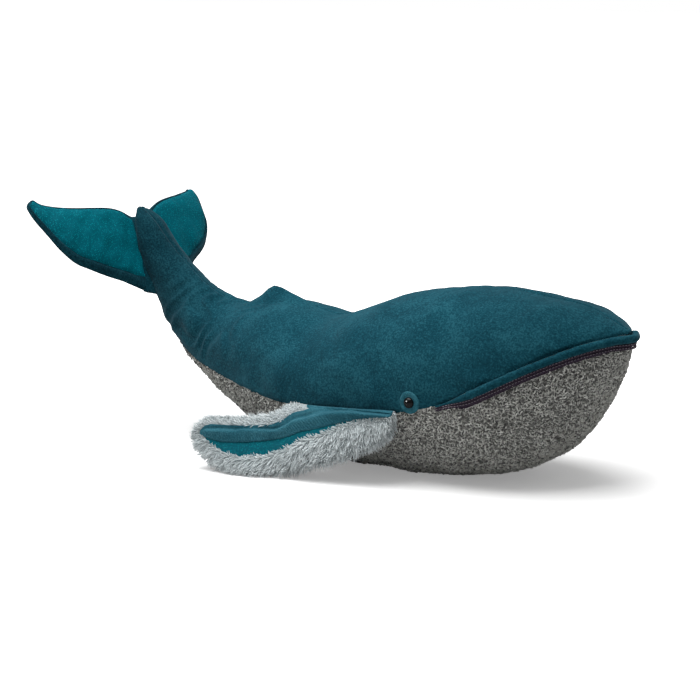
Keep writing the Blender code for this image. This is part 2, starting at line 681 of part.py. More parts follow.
def build_leaf(
    prefix, label, side, inner, outer, columns, thickness, first, tip, rim, floor, cloth, names, split=0
):
    """The solids of one leaf: a tray of cloth with a raised rim, its stuffing, and the cloth over that."""
    top, bottom, normal = leaf_surfaces(inner, outer, columns, thickness)
    chord = np.linalg.norm(outer - inner, axis=1)
    rows, count = columns.shape
    row_order = list(range(first + 1)) + list(range(first, tip + 1)) + list(range(tip, rows))
    col_order = list(range(rim[0] + 1)) + list(range(rim[0], rim[1] + 1)) + list(range(rim[1], count))
    tray_top = top[np.ix_(row_order, col_order)]
    tray_bottom = bottom[np.ix_(row_order, col_order)]
    sunk = np.ix_(range(first + 1, tip + 2), range(rim[0] + 1, rim[1] + 2))
    tray_top[sunk] = (tray_bottom + floor * normal[np.ix_(row_order, col_order)])[sunk]

    def inset(low, high, low_gap, high_gap):
        """Both faces and the normals between two columns, pulled back from the tray's wall."""
        span = slice(first, tip + 1)
        between = columns[span, low:high + 1].copy()
        between[:, 0] += low_gap / chord[span]
        between[:, -1] -= high_gap / chord[span]
        edge_in, edge_out = inner[span].copy(), outer[span].copy()
        for k, step in ((0, 1), (-1, -1)):
            for edge in (edge_in, edge_out):
                edge[k] += unit(edge[k + step] - edge[k]) * 2 * GAP
        return leaf_surfaces(edge_in, edge_out, between, thickness[span, low:high + 1])

    def solid(name, high, low):
        """One closed solid on this leaf's side of the whale."""
        high, low = to_side(high, side), to_side(low, side)
        return closed_sheet(prefix + name + "_" + label, high, low, COLOUR_OF[name])

    pieces = [solid(names[0], tray_top, tray_bottom)]
    high, low, out = inset(rim[0], rim[1], GAP, GAP)
    pieces.append(solid("fill", high - (cloth + GAP) * out, low + (floor + GAP) * out))
    bands = [(rim[0], rim[1], GAP, GAP, names[1])]
    if split:
        bands = [(rim[0], split, GAP, GAP / 2, names[1]), (split, rim[1], GAP / 2, GAP, names[2])]
    for low_column, high_column, low_gap, high_gap, name in bands:
        high, _, out = inset(low_column, high_column, low_gap, high_gap)
        pieces.append(solid(name, high, high - cloth * out))
    return pieces


def fin(label, side):
    """One pectoral fin: fur below and round the rim, velour and teal on top, stuffing between."""
    front, rear = root_line(FIN_ROOT_FRONT, FIN_ROOT_REAR, 0, FIN_ROOT_RADIUS)
    size = np.array([-FIN_LENGTH, -FIN_SPREAD, FIN_EDGE + GAP - front[2]])
    outer = front + np.array(FIN_OUTER_SHARES) * size
    root = front + (rear - front) * np.array(FIN_ROOT_ROW_SHARES)[:, None]
    free = np.array([front[0] - rear[0] - FIN_LENGTH, -FIN_SPREAD, FIN_EDGE + GAP - rear[2]])
    inner = np.vstack([root, rear + np.array(FIN_INNER_FREE_SHARES) * free])
    rows = np.linspace(0, 1, len(inner))
    roll = FIN_ROOT_RADIUS / np.linalg.norm(outer - inner, axis=1)
    hem, fold, teal = np.array(FIN_RIM_SHARES), np.array(FIN_VELOUR_SHARES), np.array(FIN_TEAL_SHARES)
    rolled = [-share * roll for share, _ in ROOT_ROLL_SHARES]
    across = [hem, (hem + fold) / 2, fold, (fold + teal) / 2, teal, (1 + teal) / 2]
    outermost = [np.full_like(rows, FIN_LAST_COLUMN_SHARE), np.ones_like(rows)]
    columns = np.stack(rolled + across + outermost, axis=1)
    at_root = np.clip(1 - columns / FIN_ROOT_FADE_SHARE, 0, 1)
    thickness = leaf_thickness(columns, rows, FIN_ROOT_RADIUS, FIN_SWELL, FIN_EDGE, at_root)
    for j, (_, share) in enumerate(ROOT_ROLL_SHARES):
        thickness[:, j] = FIN_ROOT_RADIUS * share
    last_whole = len(rows) - 2
    pieces = build_leaf(
        "fin_", label, side, inner, outer, columns, thickness, first=1, tip=last_whole,
        rim=FIN_RIM_COLUMNS, floor=FUR_BACKING, cloth=FIN_CLOTH,
        names=("fur", "velour", "teal"), split=FIN_FOLD_COLUMN
    )
    hang(pieces, front, rear, side)
    return front, rear


def main():
    """Build every piece of the whale."""
    clear_scene()
    last = len(SECTION_SHARES) - 1
    stuffing("tail_fill", 0.0, TAIL_CUT)
    trunk = stuffing("trunk_fill", TAIL_CUT, NECK_CUT)
    stuffing("head_fill", NECK_CUT, float(last))
    belly_panel()
    mouth()
    for label, side in (("right", -1), ("left", 1)):
        back = back_panel("back_panel_" + label, side)
        eye(label, side, back, trunk)
        for name, (start, end) in (("fin", fin(label, side)), ("fluke", fluke(label, side))):
            print(name, label, "hinge", to_side(start, side).round(4), to_side(end, side).round(4))


main()
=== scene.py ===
# %% [markdown]
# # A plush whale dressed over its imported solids
# The frame holds the whale's plain pattern pieces and its four sewn hinges. Each soft solid is replaced
# here by a finer piece in the same place: brushed velour, curly boucle, fur, shiny teal cloth and tape.
# A finer piece is sampled from the same sections as the solid, so nothing has to be fitted by eye.
# %% Load the frame
import math

import bmesh
import bpy
import numpy as np
from mathutils import Matrix, Vector


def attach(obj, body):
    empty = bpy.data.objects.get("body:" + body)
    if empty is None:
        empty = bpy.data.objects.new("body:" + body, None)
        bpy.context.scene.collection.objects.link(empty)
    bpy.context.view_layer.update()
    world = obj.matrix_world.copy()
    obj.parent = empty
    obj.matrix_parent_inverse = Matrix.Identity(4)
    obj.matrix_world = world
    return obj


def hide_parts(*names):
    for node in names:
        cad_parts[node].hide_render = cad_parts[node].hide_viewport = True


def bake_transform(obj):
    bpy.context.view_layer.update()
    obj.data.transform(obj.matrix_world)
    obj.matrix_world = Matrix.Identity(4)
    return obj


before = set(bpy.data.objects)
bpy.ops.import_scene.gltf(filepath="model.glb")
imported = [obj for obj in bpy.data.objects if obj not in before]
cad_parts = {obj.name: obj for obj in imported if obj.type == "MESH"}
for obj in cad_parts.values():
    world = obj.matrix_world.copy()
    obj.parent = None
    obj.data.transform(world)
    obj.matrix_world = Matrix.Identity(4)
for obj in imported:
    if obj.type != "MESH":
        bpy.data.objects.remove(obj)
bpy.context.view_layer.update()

# %% [markdown]
# ## The body's sections
# The body is a stack of cross sections, given as shares of its length, height and half width. A smooth
# curve through the table's rows gives a section at any place, so the mesh can be as fine as the cloth needs.
# %% Sections from the tail's tongue to the lip
BODY_LENGTH, LIP_REACH, BACK_HEIGHT, HEAD_HALF_WIDTH = 0.611, 0.320, 0.1925, 0.104
REST_CUT = 0.0005
# ridge x, ridge height, keel x, keel height, half width, level of the widest place, arc of the side seam
SECTION_SHARES = np.array((
    (0.002, 1.254, 0.000, 1.215, 0.08, 0.50, 0.000),
    (0.013, 1.240, 0.005, 1.160, 0.16, 0.42, 0.000),
    (0.038, 1.172, 0.013, 1.062, 0.21, 0.36, 0.000),
    (0.068, 1.070, 0.025, 0.948, 0.235, 0.36, 0.000),
    (0.095, 0.990, 0.042, 0.832, 0.255, 0.38, 0.000),
    (0.121, 0.922, 0.062, 0.710, 0.275, 0.42, 0.000),
    (0.151, 0.852, 0.084, 0.595, 0.30, 0.45, 0.080),
    (0.190, 0.793, 0.128, 0.450, 0.37, 0.48, 0.240),
    (0.232, 0.770, 0.182, 0.315, 0.46, 0.50, 0.350),
    (0.285, 0.793, 0.252, 0.190, 0.59, 0.50, 0.405),
    (0.339, 0.812, 0.314, 0.105, 0.71, 0.50, 0.425),
    (0.396, 0.787, 0.384, 0.035, 0.83, 0.50, 0.455),
    (0.445, 0.768, 0.442, 0.004, 0.91, 0.52, 0.470),
    (0.507, 0.821, 0.507, 0.000, 0.96, 0.52, 0.463),
    (0.576, 0.903, 0.576, 0.000, 0.99, 0.50, 0.446),
    (0.642, 0.959, 0.642, 0.000, 1.00, 0.48, 0.440),
    (0.699, 0.982, 0.699, 0.003, 1.00, 0.48, 0.457),
    (0.748, 0.993, 0.750, 0.024, 0.98, 0.47, 0.475),
    (0.797, 0.993, 0.799, 0.055, 0.95, 0.48, 0.503),
    (0.841, 0.980, 0.843, 0.101, 0.89, 0.52, 0.535),
    (0.882, 0.965, 0.883, 0.178, 0.79, 0.58, 0.561),
    (0.920, 0.944, 0.919, 0.287, 0.66, 0.62, 0.582),
    (0.951, 0.913, 0.948, 0.410, 0.50, 0.66, 0.604),
    (0.974, 0.880, 0.970, 0.537, 0.34, 0.69, 0.620),
    (0.989, 0.858, 0.986, 0.655, 0.19, 0.67, 0.620),
    (1.000, 0.847, 0.997, 0.738, 0.07, 0.60, 0.606),
))
FULLNESS_BELOW, FULLNESS_ABOVE = 2.35, 2.15
ARC_STEPS = 240
LAST_SECTION = len(SECTION_SHARES) - 1
MIRROR, FLAT, FORWARD = np.array([1, -1, 1]), np.array([1, 0, 1]), np.array([1.0, 0, 0])


def smooth_row(table, place):
    """Read a table at a fractional row, on a Catmull-Rom curve."""
    rows = np.asarray(table, float)
    last = len(rows) - 1
    place = min(max(place, 0.0), float(last))
    low = min(int(place), last - 1)
    t = place - low
    before, start = rows[max(low - 1, 0)], rows[low]
    end, after = rows[low + 1], rows[min(low + 2, last)]
    turn_in, turn_out = (end - before) / 2, (after - start) / 2
    return (
        (2 * t**3 - 3 * t**2 + 1) * start + (t**3 - 2 * t**2 + t) * turn_in
        + (3 * t**2 - 2 * t**3) * end + (t**3 - t**2) * turn_out
    )


def smooth_step(x, low, high):
    """0 below low, 1 above high, smooth between."""
    t = np.clip((x - low) / (high - low), 0, 1)
    return t * t * (3 - 2 * t)


def unit(vectors):
    """Vectors scaled to length 1."""
    return vectors / np.maximum(np.linalg.norm(vectors, axis=-1, keepdims=True), 1e-12)


def run_along(points):
    """The length of a line up to each of its points."""
    return np.r_[0, np.cumsum(np.linalg.norm(np.diff(points, axis=0), axis=1))]


def section(place):
    """The right half of a section, keel to ridge, with its arc lengths and the side seam's arc."""
    ridge_x, ridge_z, keel_x, keel_z, width, widest, seam = smooth_row(SECTION_SHARES, place)
    start = LIP_REACH - BODY_LENGTH
    ridge = np.array([start + BODY_LENGTH * ridge_x, 0, BACK_HEIGHT * ridge_z - REST_CUT])
    keel = np.array([start + BODY_LENGTH * keel_x, 0, BACK_HEIGHT * keel_z - REST_CUT])
    turn = np.linspace(0, math.pi, ARC_STEPS)
    power = np.where(turn < math.pi / 2, FULLNESS_BELOW, FULLNESS_ABOVE)
    rise = -np.sign(np.cos(turn)) * np.abs(np.cos(turn)) ** (2 / power)
    level = np.where(rise < 0, widest + widest * rise, widest + (1 - widest) * rise)
    points = keel + np.outer(level, ridge - keel)
    points[:, 1] = -HEAD_HALF_WIDTH * width * np.abs(np.sin(turn)) ** (2 / power)
    points[[0, -1], 1] = 0
    arc = run_along(points)
    return points, arc, arc[-1] * max(seam, 0.0)


def at_arc(points, arc, where):
    """Points at arc lengths along a section."""
    return np.stack([np.interp(where, arc, points[:, k]) for k in range(3)], axis=-1)


print("the body's widest section is", 2 * HEAD_HALF_WIDTH, "m wide")

# %% [markdown]
# ## Where the two cloths meet
# The side seam runs from a point under the tail to the corner of the mouth. In front of the corner the
# seam opens into the lip: the piping and two ridges of tape lie between the velour and the boucle.
# %% Edges of the two cloths
PIPING_RADIUS, TRIM_RADIUS, MOUTH_START_RADIUS = 0.0040, 0.0014, 0.0009
LIP_PROUD, TRIM_PROUD, MOUTH_GAP = 0.0026, 0.0008, 0.0003
MOUTH_CORNER, MOUTH_FULL, MOUTH_LAG, MOUTH_FRONT = 16.9, 18.0, 0.25, 24.0
SEAM_GAP, POINT_WIDTH = 0.0006, 0.0006


def mouth_open(place):
    """How far the mouth's channel has opened in the cloth, from 0 at its corner to 1."""
    return smooth_step(place, MOUTH_CORNER, MOUTH_FULL)


def cloth_edges(place):
    """Arc lengths of the boucle's upper edge and the velour's lower edge."""
    _, arc, seam = section(place)
    opened = mouth_open(place)
    belly = seam - SEAM_GAP / 2 - opened * (PIPING_RADIUS + 4 * TRIM_RADIUS + 3 * MOUTH_GAP)
    belly = max(belly, POINT_WIDTH)
    back = max(seam + SEAM_GAP / 2 + opened * PIPING_RADIUS, belly + SEAM_GAP / 2)
    return belly, min(back, arc[-1] - POINT_WIDTH)


print("seam arc at the belly's middle", round(section(12)[2], 4), "m")

# %% [markdown]
# ## Softness
# Stuffed cloth is never smooth: it swells between seams, dips at them and has slow lumps. A sum of
# seeded waves gives lumps of a known size, the same in each run, and it costs almost nothing.
# %% Lumps in the cloth
WAVE_COUNT = 28


def lumps(points, length, seed):
    """A smooth random field over points, about -1 to 1, with waves near one length."""
    draw = np.random.default_rng(seed)
    ways = unit(draw.normal(size=(WAVE_COUNT, 3)))
    lengths = length * draw.uniform(0.7, 1.5, WAVE_COUNT)
    phases = draw.uniform(0, 2 * math.pi, WAVE_COUNT)
    turns = points @ (ways * (2 * math.pi / lengths)[:, None]).T + phases
    return np.sin(turns).sum(axis=-1) / math.sqrt(WAVE_COUNT)


def layered_lumps(points, layers):
    """Several fields of lumps added up, each with a height, a length and a seed."""
    return sum(height * lumps(points, length, seed) for height, length, seed in layers)


def dip(distance, reach):
    """1 at a seam, fading to 0 over a reach."""
    return np.exp(-((distance / reach) ** 2))


print("lump sample", lumps(np.zeros((1, 3)), 0.03, 1).round(3))

# %% [markdown]
# ## Meshes from grids and rings
# Most cloth here is a grid of points: rows along the whale and columns across it. One helper turns a grid
# into faces that point away from the stuffing, and Solidify then gives the cloth its thickness. Rolls,
# yarns and strands are rings of points with walls between them.
# %% Grids and rings into meshes
HEM_DEPTHS = np.array((0.0036, 0.0024, 0.0012))
CAP_ROWS, CAP_TIP = 6, 0.02
SIDES = (("right", -1), ("left", 1))


def put(name, data):
    """A named object in the scene that holds a mesh, a lamp or a camera."""
    item = bpy.data.objects.new(name, data)
    bpy.context.scene.collection.objects.link(item)
    return item


def link(name, work, finish=None, smooth=True):
    """A named object in the scene from a bmesh."""
    mesh = bpy.data.meshes.new(name)
    work.to_mesh(mesh)
    work.free()
    if smooth:
        mesh.shade_smooth()
    if finish:
        mesh.materials.append(finish)
    return put(name, mesh)


def grid_cloth(name, grid, outward, finish, thickness=0.0):
    """A sheet of quads through a grid, facing the given way, with a wall on its inner side."""
    work = bmesh.new()
    verts = [[work.verts.new(p) for p in row] for row in grid]
    middle = len(grid) // 2, len(grid[0]) // 2
    across = grid[middle[0] + 1, middle[1]] - grid[middle[0], middle[1]]
    along = grid[middle[0], middle[1] + 1] - grid[middle[0], middle[1]]
    flip = np.cross(across, along) @ outward[middle] < 0
    for a, b in zip(verts, verts[1:]):
        for j in range(len(a) - 1):
            corners = (a[j], b[j], b[j + 1], a[j + 1])
            work.faces.new(corners[::-1] if flip else corners)
    item = link(name, work, finish)
    if thickness:
        wall = item.modifiers.new("wall", "SOLIDIFY")
        wall.thickness, wall.offset = thickness, -1
    return item


def walls(work, rings):
    """Quads between each ring of vertices and the next."""
    for a, b in zip(rings, rings[1:]):
        for j in range(len(a)):
            k = (j + 1) % len(a)
            work.faces.new((a[j], a[k], b[k], b[j]))


def fan(work, ring, point):
    """Triangles from a ring of vertices to one more."""
    for a, b in zip(ring, ring[1:] + ring[:1]):
        work.faces.new((a, b, point))


def ringed(name, rings, finish):
    """A closed shape through rings of points, with a fan over each end."""
    work = bmesh.new()
    verts = [[work.verts.new(p) for p in ring] for ring in rings]
    walls(work, verts)
    for end in (0, -1):
        fan(work, verts[end], work.verts.new(np.mean(rings[end], axis=0)))
    bmesh.ops.recalc_face_normals(work, faces=work.faces)
    return link(name, work, finish)


def shape_to_repeat(name, work, rings, point=None):
    """A hidden closed shape through rings of vertices, which ends flat or in a point."""
    walls(work, rings)
    work.faces.new(rings[0][::-1])
    if point:
        fan(work, rings[-1], point)
    else:
        work.faces.new(rings[-1])
    bmesh.ops.recalc_face_normals(work, faces=work.faces)
    item = link(name, work)
    item.hide_render = True
    return item


def hemmed(grid, out):
    """A grid whose edge columns carry on inwards, as a seam allowance does."""
    low = np.stack([grid[:, 0] - depth * out[:, 0] for depth in HEM_DEPTHS], axis=1)
    high = np.stack([grid[:, -1] - depth * out[:, -1] for depth in HEM_DEPTHS[::-1]], axis=1)
    return np.concatenate([low, grid, high], axis=1)


def end_cap(row, centre, away, reach):
    """Rows that shrink an end row towards a centre, so that the end is rounded."""
    turns = np.linspace(0, math.pi / 2, CAP_ROWS + 1)[1:]
    shrink = [max(math.cos(a), CAP_TIP) for a in turns]
    return np.array([centre + (row - centre) * c + away * reach * math.sin(a) for c, a in zip(shrink, turns)])


def outward_normals(grid, inside):
    """Unit normals of an open grid, turned away from what is inside it."""
    normals = unit(np.cross(np.gradient(grid, axis=0), np.gradient(grid, axis=1)))
    return normals * np.sign(((grid - inside) * normals).sum())


def to_side(points, side):
    """The right side's points, or their mirror image on the left."""
    return points if side < 0 else points * MIRROR


print("helpers ready for", [name for name, _ in SIDES])

# %% [markdown]
# ## The velour back
# The back is two panels of short-pile velour that meet in a seam along the ridge. Their edges turn in at
# the seams, the stuffing pushes the cloth out between them, and the tail's bend gathers it into wrinkles.
# Close to a seam the columns crowd together, because that is where the surface turns quickly.
# %% Velour panels
BACK_ROWS, BACK_COLUMNS, BACK_END = 330, 84, 24.9
EDGE_CROWDING, CLOTH_WALL = 0.75, 0.0012


def crowded(count):
    """Shares from 0 to 1, closer together near both ends."""
    t = np.linspace(0, 1, count)
    return t - EDGE_CROWDING * np.sin(2 * math.pi * t) / (2 * math.pi)


def back_grid():
    """The right panel's smooth surface with its normals, and each point's distance from both edges."""
    places = np.linspace(0, BACK_END, BACK_ROWS)
    rows, from_side, from_ridge = [], [], []
    for place in places:
        points, arc, _ = section(place)
        low = cloth_edges(place)[1]
        where = low + (arc[-1] - low) * crowded(BACK_COLUMNS)
        rows.append(at_arc(points, arc, where))
        from_side.append(where - low)
        from_ridge.append(arc[-1] - where)
    grid = np.array(rows)
    normals = outward_normals(grid, grid.mean(axis=1, keepdims=True) * FLAT)
    normals[:, -1, 1] = 0
    return places, grid, unit(normals), np.array(from_side), np.array(from_ridge)


places, back, back_out, from_side, from_ridge = back_grid()
print("velour grid", back.shape, "normals up at the ridge", back_out[200, -1].round(2))

# %% [markdown]
# ## Shaping the velour
# Each effect is a height along the normal: turned-in edges, puckers that fade out from a seam, slow lumps,
# and wrinkles where the tail bends up. The dorsal fin is pinched up out of the ridge seam itself.
# %% Velour relief
SEAM_DEPTH, SEAM_REACH, SEAM_EASE = 0.0017, 0.0022, 0.004
RIDGE_DEPTH, RIDGE_REACH, RIDGE_CLEAR = 0.0009, 0.0016, 0.00012
PUCKER_HEIGHT, PUCKER_REACH, PUCKER_LENGTH, PUCKERS_FULL = 0.00050, 0.011, 0.0085, (8.0, 10.0)
LUMP_LAYERS = ((0.0009, 0.060, 3), (0.00038, 0.026, 4), (0.00012, 0.011, 5))
TAIL_BEND, TAIL_BEND_WIDTH, WRINKLE_HEIGHT, WRINKLE_LENGTH = 6.9, 1.6, 0.0026, 0.019
WRINKLE_WAY, WRINKLE_DRIFT = np.array([0.82, 0.25, -0.52]), (0.010, 0.05)
SADDLE, SADDLE_WIDTH, SADDLE_REACH, DEEPEST = 11.4, 1.5, 0.045, -0.0007
DORSAL_HEIGHT, DORSAL_REACH, FLANK_POWER = 0.0172, 0.0185, 1.25
DORSAL_PLACES = (8.30, 8.70, 9.0, 9.25, 9.55, 9.95, 10.5, 11.0)
DORSAL_LIFTS = (0.0, 0.40, 0.82, 1.0, 0.84, 0.50, 0.18, 0.0)
TAIL_TIP_REACH, SNOUT_REACH = 0.0045, 0.0030


def velour_relief(grid, seed, swelling):
    """Height of the velour above its smooth surface."""
    height = swelling + layered_lumps(grid, [(size, length, seed + k) for size, length, k in LUMP_LAYERS])
    on_trunk = smooth_step(places, *PUCKERS_FULL)[:, None]
    near = (0.25 + 0.75 * on_trunk) * np.exp(-from_side / PUCKER_REACH)
    near += 0.35 * np.exp(-from_ridge / PUCKER_REACH)
    height += PUCKER_HEIGHT * lumps(grid * FLAT, PUCKER_LENGTH, seed + 9) * near
    bend = dip(places - TAIL_BEND, TAIL_BEND_WIDTH)[:, None]
    drift, drift_length = WRINKLE_DRIFT
    fold_way = grid @ unit(WRINKLE_WAY) + drift * lumps(grid, drift_length, seed + 20)
    fade = 0.35 + 0.65 * smooth_step(from_ridge, 0.004, 0.03)
    fade *= 0.15 + 0.85 * smooth_step(from_side, 0.006, 0.03)
    height += WRINKLE_HEIGHT * bend * np.sin(2 * math.pi * fold_way / WRINKLE_LENGTH) * fade
    taut = dip(places - SADDLE, SADDLE_WIDTH)[:, None] * dip(from_ridge, SADDLE_REACH)
    height -= np.maximum(height, 0) * taut
    height = np.maximum(height, DEEPEST) * np.clip(np.minimum(from_side, from_ridge) / SEAM_EASE, 0.25, 1)
    snug = 1 - 0.75 * mouth_open(places)[:, None]
    height -= SEAM_DEPTH * snug * dip(from_side, SEAM_REACH)
    return height - RIDGE_DEPTH * dip(from_ridge, RIDGE_REACH)


def dorsal(grid, places, from_ridge):
    """Raise the ridge into the small dorsal fin, with straight flanks and a rounded crest."""
    lift = DORSAL_HEIGHT * np.interp(places, DORSAL_PLACES, DORSAL_LIFTS)[:, None]
    raised = grid.copy()
    raised[..., 2] += lift * np.clip(1 - from_ridge / DORSAL_REACH, 0, 1) ** FLANK_POWER
    return raised


def capped(grid):
    """Close the tongue's tip and the snout's end with rounded rows."""
    tail, snout = grid[0], grid[-1]
    away = unit((tail.mean(axis=0) - grid[6].mean(axis=0)) * FLAT)
    tail_rows = end_cap(tail, (tail[0] + tail[-1]) / 2 * FLAT, away, TAIL_TIP_REACH)
    snout_rows = end_cap(snout, (snout[0] + snout[-1]) / 2 * FLAT, FORWARD, SNOUT_REACH)
    return np.vstack([tail_rows[::-1], grid, snout_rows])


# %% [markdown]
# ## Finishes for cloth
# One recipe serves the brushed cloths: slow noise shades the pile, a finer noise gives its grain, and both
# also drive a bump. A simpler recipe with one noise serves the rest. Every noise reads Object coordinates,
# so nothing slides when the whale is turned, and the sheen stands on the shader's own socket.
# %% Shader helpers
def join(tree, start, end):
    """Link an output socket to an input socket."""
    tree.links.new(start, end)


def noise_node(tree, place, scale, detail, roughness=0.5, distortion=0.0):
    """A noise texture on Object coordinates."""
    node = tree.nodes.new("ShaderNodeTexNoise")
    values = (("Scale", scale), ("Detail", detail), ("Roughness", roughness), ("Distortion", distortion))
    for socket, value in values:
        node.inputs[socket].default_value = value
    join(tree, place, node.inputs["Vector"])
    return node.outputs["Fac"]


def maths(tree, kind, first, second):
    """A Math node on two values or sockets."""
    node = tree.nodes.new("ShaderNodeMath")
    node.operation = kind
    for socket, value in zip(node.inputs, (first, second)):
        if isinstance(value, (int, float)):
            socket.default_value = value
        else:
            join(tree, value, socket)
    return node.outputs[0]


def weighted(tree, *parts):
    """The sum of sockets, each times its weight."""
    total, *others = [maths(tree, "MULTIPLY", socket, weight) for socket, weight in parts]
    for other in others:
        total = maths(tree, "ADD", total, other)
    return total


def scaled(tree, vector, factor):
    """A vector or colour socket times a factor."""
    node = tree.nodes.new("ShaderNodeVectorMath")
    node.operation = "SCALE"
    join(tree, vector, node.inputs[0])
    join(tree, factor, node.inputs["Scale"])
    return node.outputs["Vector"]


def faded(tree, value, *limits):
    """A smooth change between two values as a socket goes from one limit to another."""
    node = tree.nodes.new("ShaderNodeMapRange")
    node.interpolation_type = "SMOOTHSTEP"
    for socket, limit in zip(("From Min", "From Max", "To Min", "To Max"), limits):
        node.inputs[socket].default_value = limit
    join(tree, value, node.inputs["Value"])
    return node.outputs["Result"]


def ramp(tree, fac, stops):
    """A colour ramp with (position, colour) stops."""
    node = tree.nodes.new("ShaderNodeValToRGB")
    elements = node.color_ramp.elements
    while len(elements) < len(stops):
        elements.new(0.5)
    for element, (position, colour) in zip(elements, stops):
        element.position, element.color = position, (*colour, 1)
    join(tree, fac, node.inputs[0])
    return node.outputs["Color"]


def bumped(tree, height, strength, distance):
    """A bump node fed by a height."""
    node = tree.nodes.new("ShaderNodeBump")
    node.inputs["Strength"].default_value = strength
    node.inputs["Distance"].default_value = distance
    join(tree, height, node.inputs["Height"])
    return node.outputs["Normal"]


def stored(tree, name):
    """A mesh attribute's value in a shader."""
    node = tree.nodes.new("ShaderNodeAttribute")
    node.attribute_name = name
    return node.outputs["Fac"]


def new_finish(name, roughness, sheen=0.0, sheen_roughness=0.4, sheen_tint=(1, 1, 1), specular=0.02):
    """A material with its shader and the Object coordinates."""
    material = bpy.data.materials.new(name)
    material.use_nodes = True
    tree = material.node_tree
    shader = tree.nodes["Principled BSDF"]
    for socket, value in (
        ("Roughness", roughness), ("Specular IOR Level", specular), ("Sheen Weight", sheen),
        ("Sheen Roughness", sheen_roughness), ("Sheen Tint", (*sheen_tint, 1)),
    ):
        shader.inputs[socket].default_value = value
    return material, tree, shader, tree.nodes.new("ShaderNodeTexCoord").outputs["Object"]


# %% Two recipes for finishes
PILE_SHEEN, PILE_SHEEN_ROUGHNESS, PILE_SHEEN_TINT = 0.11, 0.45, (0.55, 0.85, 1.0)
# Where along X the velour's colour darkens towards the tail and the head: painted shade
TAIL_SHADE_SPAN, HEAD_SHADE_SPAN = (-0.27, -0.12), (0.10, 0.28)


def brushed_cloth(name, dark, middle, light, patch=22, grain=560, nap=0.0007, tail=1.0, head=1.0):
    """Short pile brushed in patches; its colour is darkened towards the tail and the head, a painted shade.
    """
    material, tree, shader, place = new_finish(name, 0.85, PILE_SHEEN, PILE_SHEEN_ROUGHNESS, PILE_SHEEN_TINT)
    slow = noise_node(tree, place, patch, 4, 0.55, 0.8)
    mottle = noise_node(tree, place, patch * 7, 3, 0.6)
    fine = noise_node(tree, place, grain, 2, 0.6)
    shade = weighted(tree, (slow, 0.32), (mottle, 0.08), (fine, 0.60))
    colour = ramp(tree, shade, ((0.40, dark), (0.50, middle), (0.60, light)))
    # Darken the colour towards the tail and the head: painted shade
    if tail < 1:
        split = tree.nodes.new("ShaderNodeSeparateXYZ")
        join(tree, place, split.inputs[0])
        shade_fades = [faded(tree, split.outputs["X"], *limits)
                 for limits in ((*TAIL_SHADE_SPAN, tail, 1.0), (*HEAD_SHADE_SPAN, 1.0, head))]
        colour = scaled(tree, colour, maths(tree, "MULTIPLY", *shade_fades))
    join(tree, colour, shader.inputs["Base Color"])
    join(tree, bumped(tree, weighted(tree, (mottle, 0.22), (fine, 0.78)), 0.55, nap), shader.inputs["Normal"])
    return material


def flecked(name, roughness, scale, detail, stops, fineness=0.5, relief=None, **looks):
    """A finish with one noise, which picks the colour and, given a strength and a depth, raises a bump."""
    material, tree, shader, place = new_finish(name, roughness, **looks)
    fleck = noise_node(tree, place, scale, detail, fineness)
    join(tree, ramp(tree, fleck, stops), shader.inputs["Base Color"])
    if relief:
        join(tree, bumped(tree, fleck, *relief), shader.inputs["Normal"])
    return material


# The body's velour is darkened towards its tail and its head: painted shade
velour = brushed_cloth(
    "brushed_velour", (0.0018, 0.034, 0.051), (0.0046, 0.054, 0.078), (0.0135, 0.089, 0.120),
    tail=0.57, head=0.78)
print("made", velour.name)

# %% [markdown]
# ## Stuffing it
# Stuffing pushes cloth out until the cloth pulls back, while each seam holds it in. Blender's Cloth does
# just that. A coarse shell of the whole body starts a little too small, its seams are pinned, its panels are
# cut slightly larger than the seams, and pressure swells it. How far each point moved is then laid on the
# fine panels, which keep their detail. Simulating the fine panels themselves would take far longer.
# %% Swelling a coarse shell
SHELL_ROWS, SHELL_COLUMNS, SHELL_START, SHELL_PLACES, HOLD_REACH = 120, 36, 0.0005, (0.4, 24.7), 0.6
STUFFING_PRESSURE, EASE, SWELL_LIMITS, SMOOTHINGS = 12.0, -0.003, (-0.0009, 0.0018), 3
SWELL_FRAMES, SWELL_QUALITY, CLOTH_MASS, CLOTH_TENSION, CLOTH_BENDING = 20, 6, 0.3, 5.0, 0.5


def shell():
    """The coarse shell's rings round the body, and which of its points are sewn down."""
    rings, sewn = [], []
    for place in np.linspace(*SHELL_PLACES, SHELL_ROWS):
        points, arc, _ = section(place)
        where = arc[-1] * np.linspace(0, 1, SHELL_COLUMNS)
        right = at_arc(points, arc, where)
        rings.append(np.vstack([right, right[-2:0:-1] * MIRROR]))
        low, high = cloth_edges(place)
        near = HOLD_REACH * where[1]
        held = (where > low - near) & (where < high + near)
        held[-1] = True
        sewn.append(np.r_[held, held[-2:0:-1]])
    sewn = np.array(sewn)
    sewn[0] = sewn[-1] = True
    return np.array(rings), sewn


def stuff(item, pins):
    """Let the cloth solver swell an object whose pinned points stay, and give its points back."""
    item.vertex_groups.new(name="sewn").add(pins, 1.0, "REPLACE")
    modifier = item.modifiers.new("stuffing", "CLOTH")
    cloth = modifier.settings
    cloth.quality, cloth.mass, cloth.pin_stiffness = SWELL_QUALITY, CLOTH_MASS, 1.0
    cloth.tension_stiffness = cloth.compression_stiffness = CLOTH_TENSION
    cloth.bending_stiffness, cloth.shrink_min = CLOTH_BENDING, EASE
    cloth.use_pressure, cloth.uniform_pressure_force = True, STUFFING_PRESSURE
    cloth.vertex_group_mass, cloth.effector_weights.gravity = "sewn", 0.0
    modifier.collision_settings.use_collision = False
    modifier.point_cache.frame_start, modifier.point_cache.frame_end = 1, SWELL_FRAMES
    for frame_number in range(1, SWELL_FRAMES + 1):
        bpy.context.scene.frame_set(frame_number)
    shape = item.evaluated_get(bpy.context.evaluated_depsgraph_get()).data
    moved = np.array([vertex.co for vertex in shape.vertices])
    bpy.data.objects.remove(item)
    bpy.context.scene.frame_set(1)
    return moved


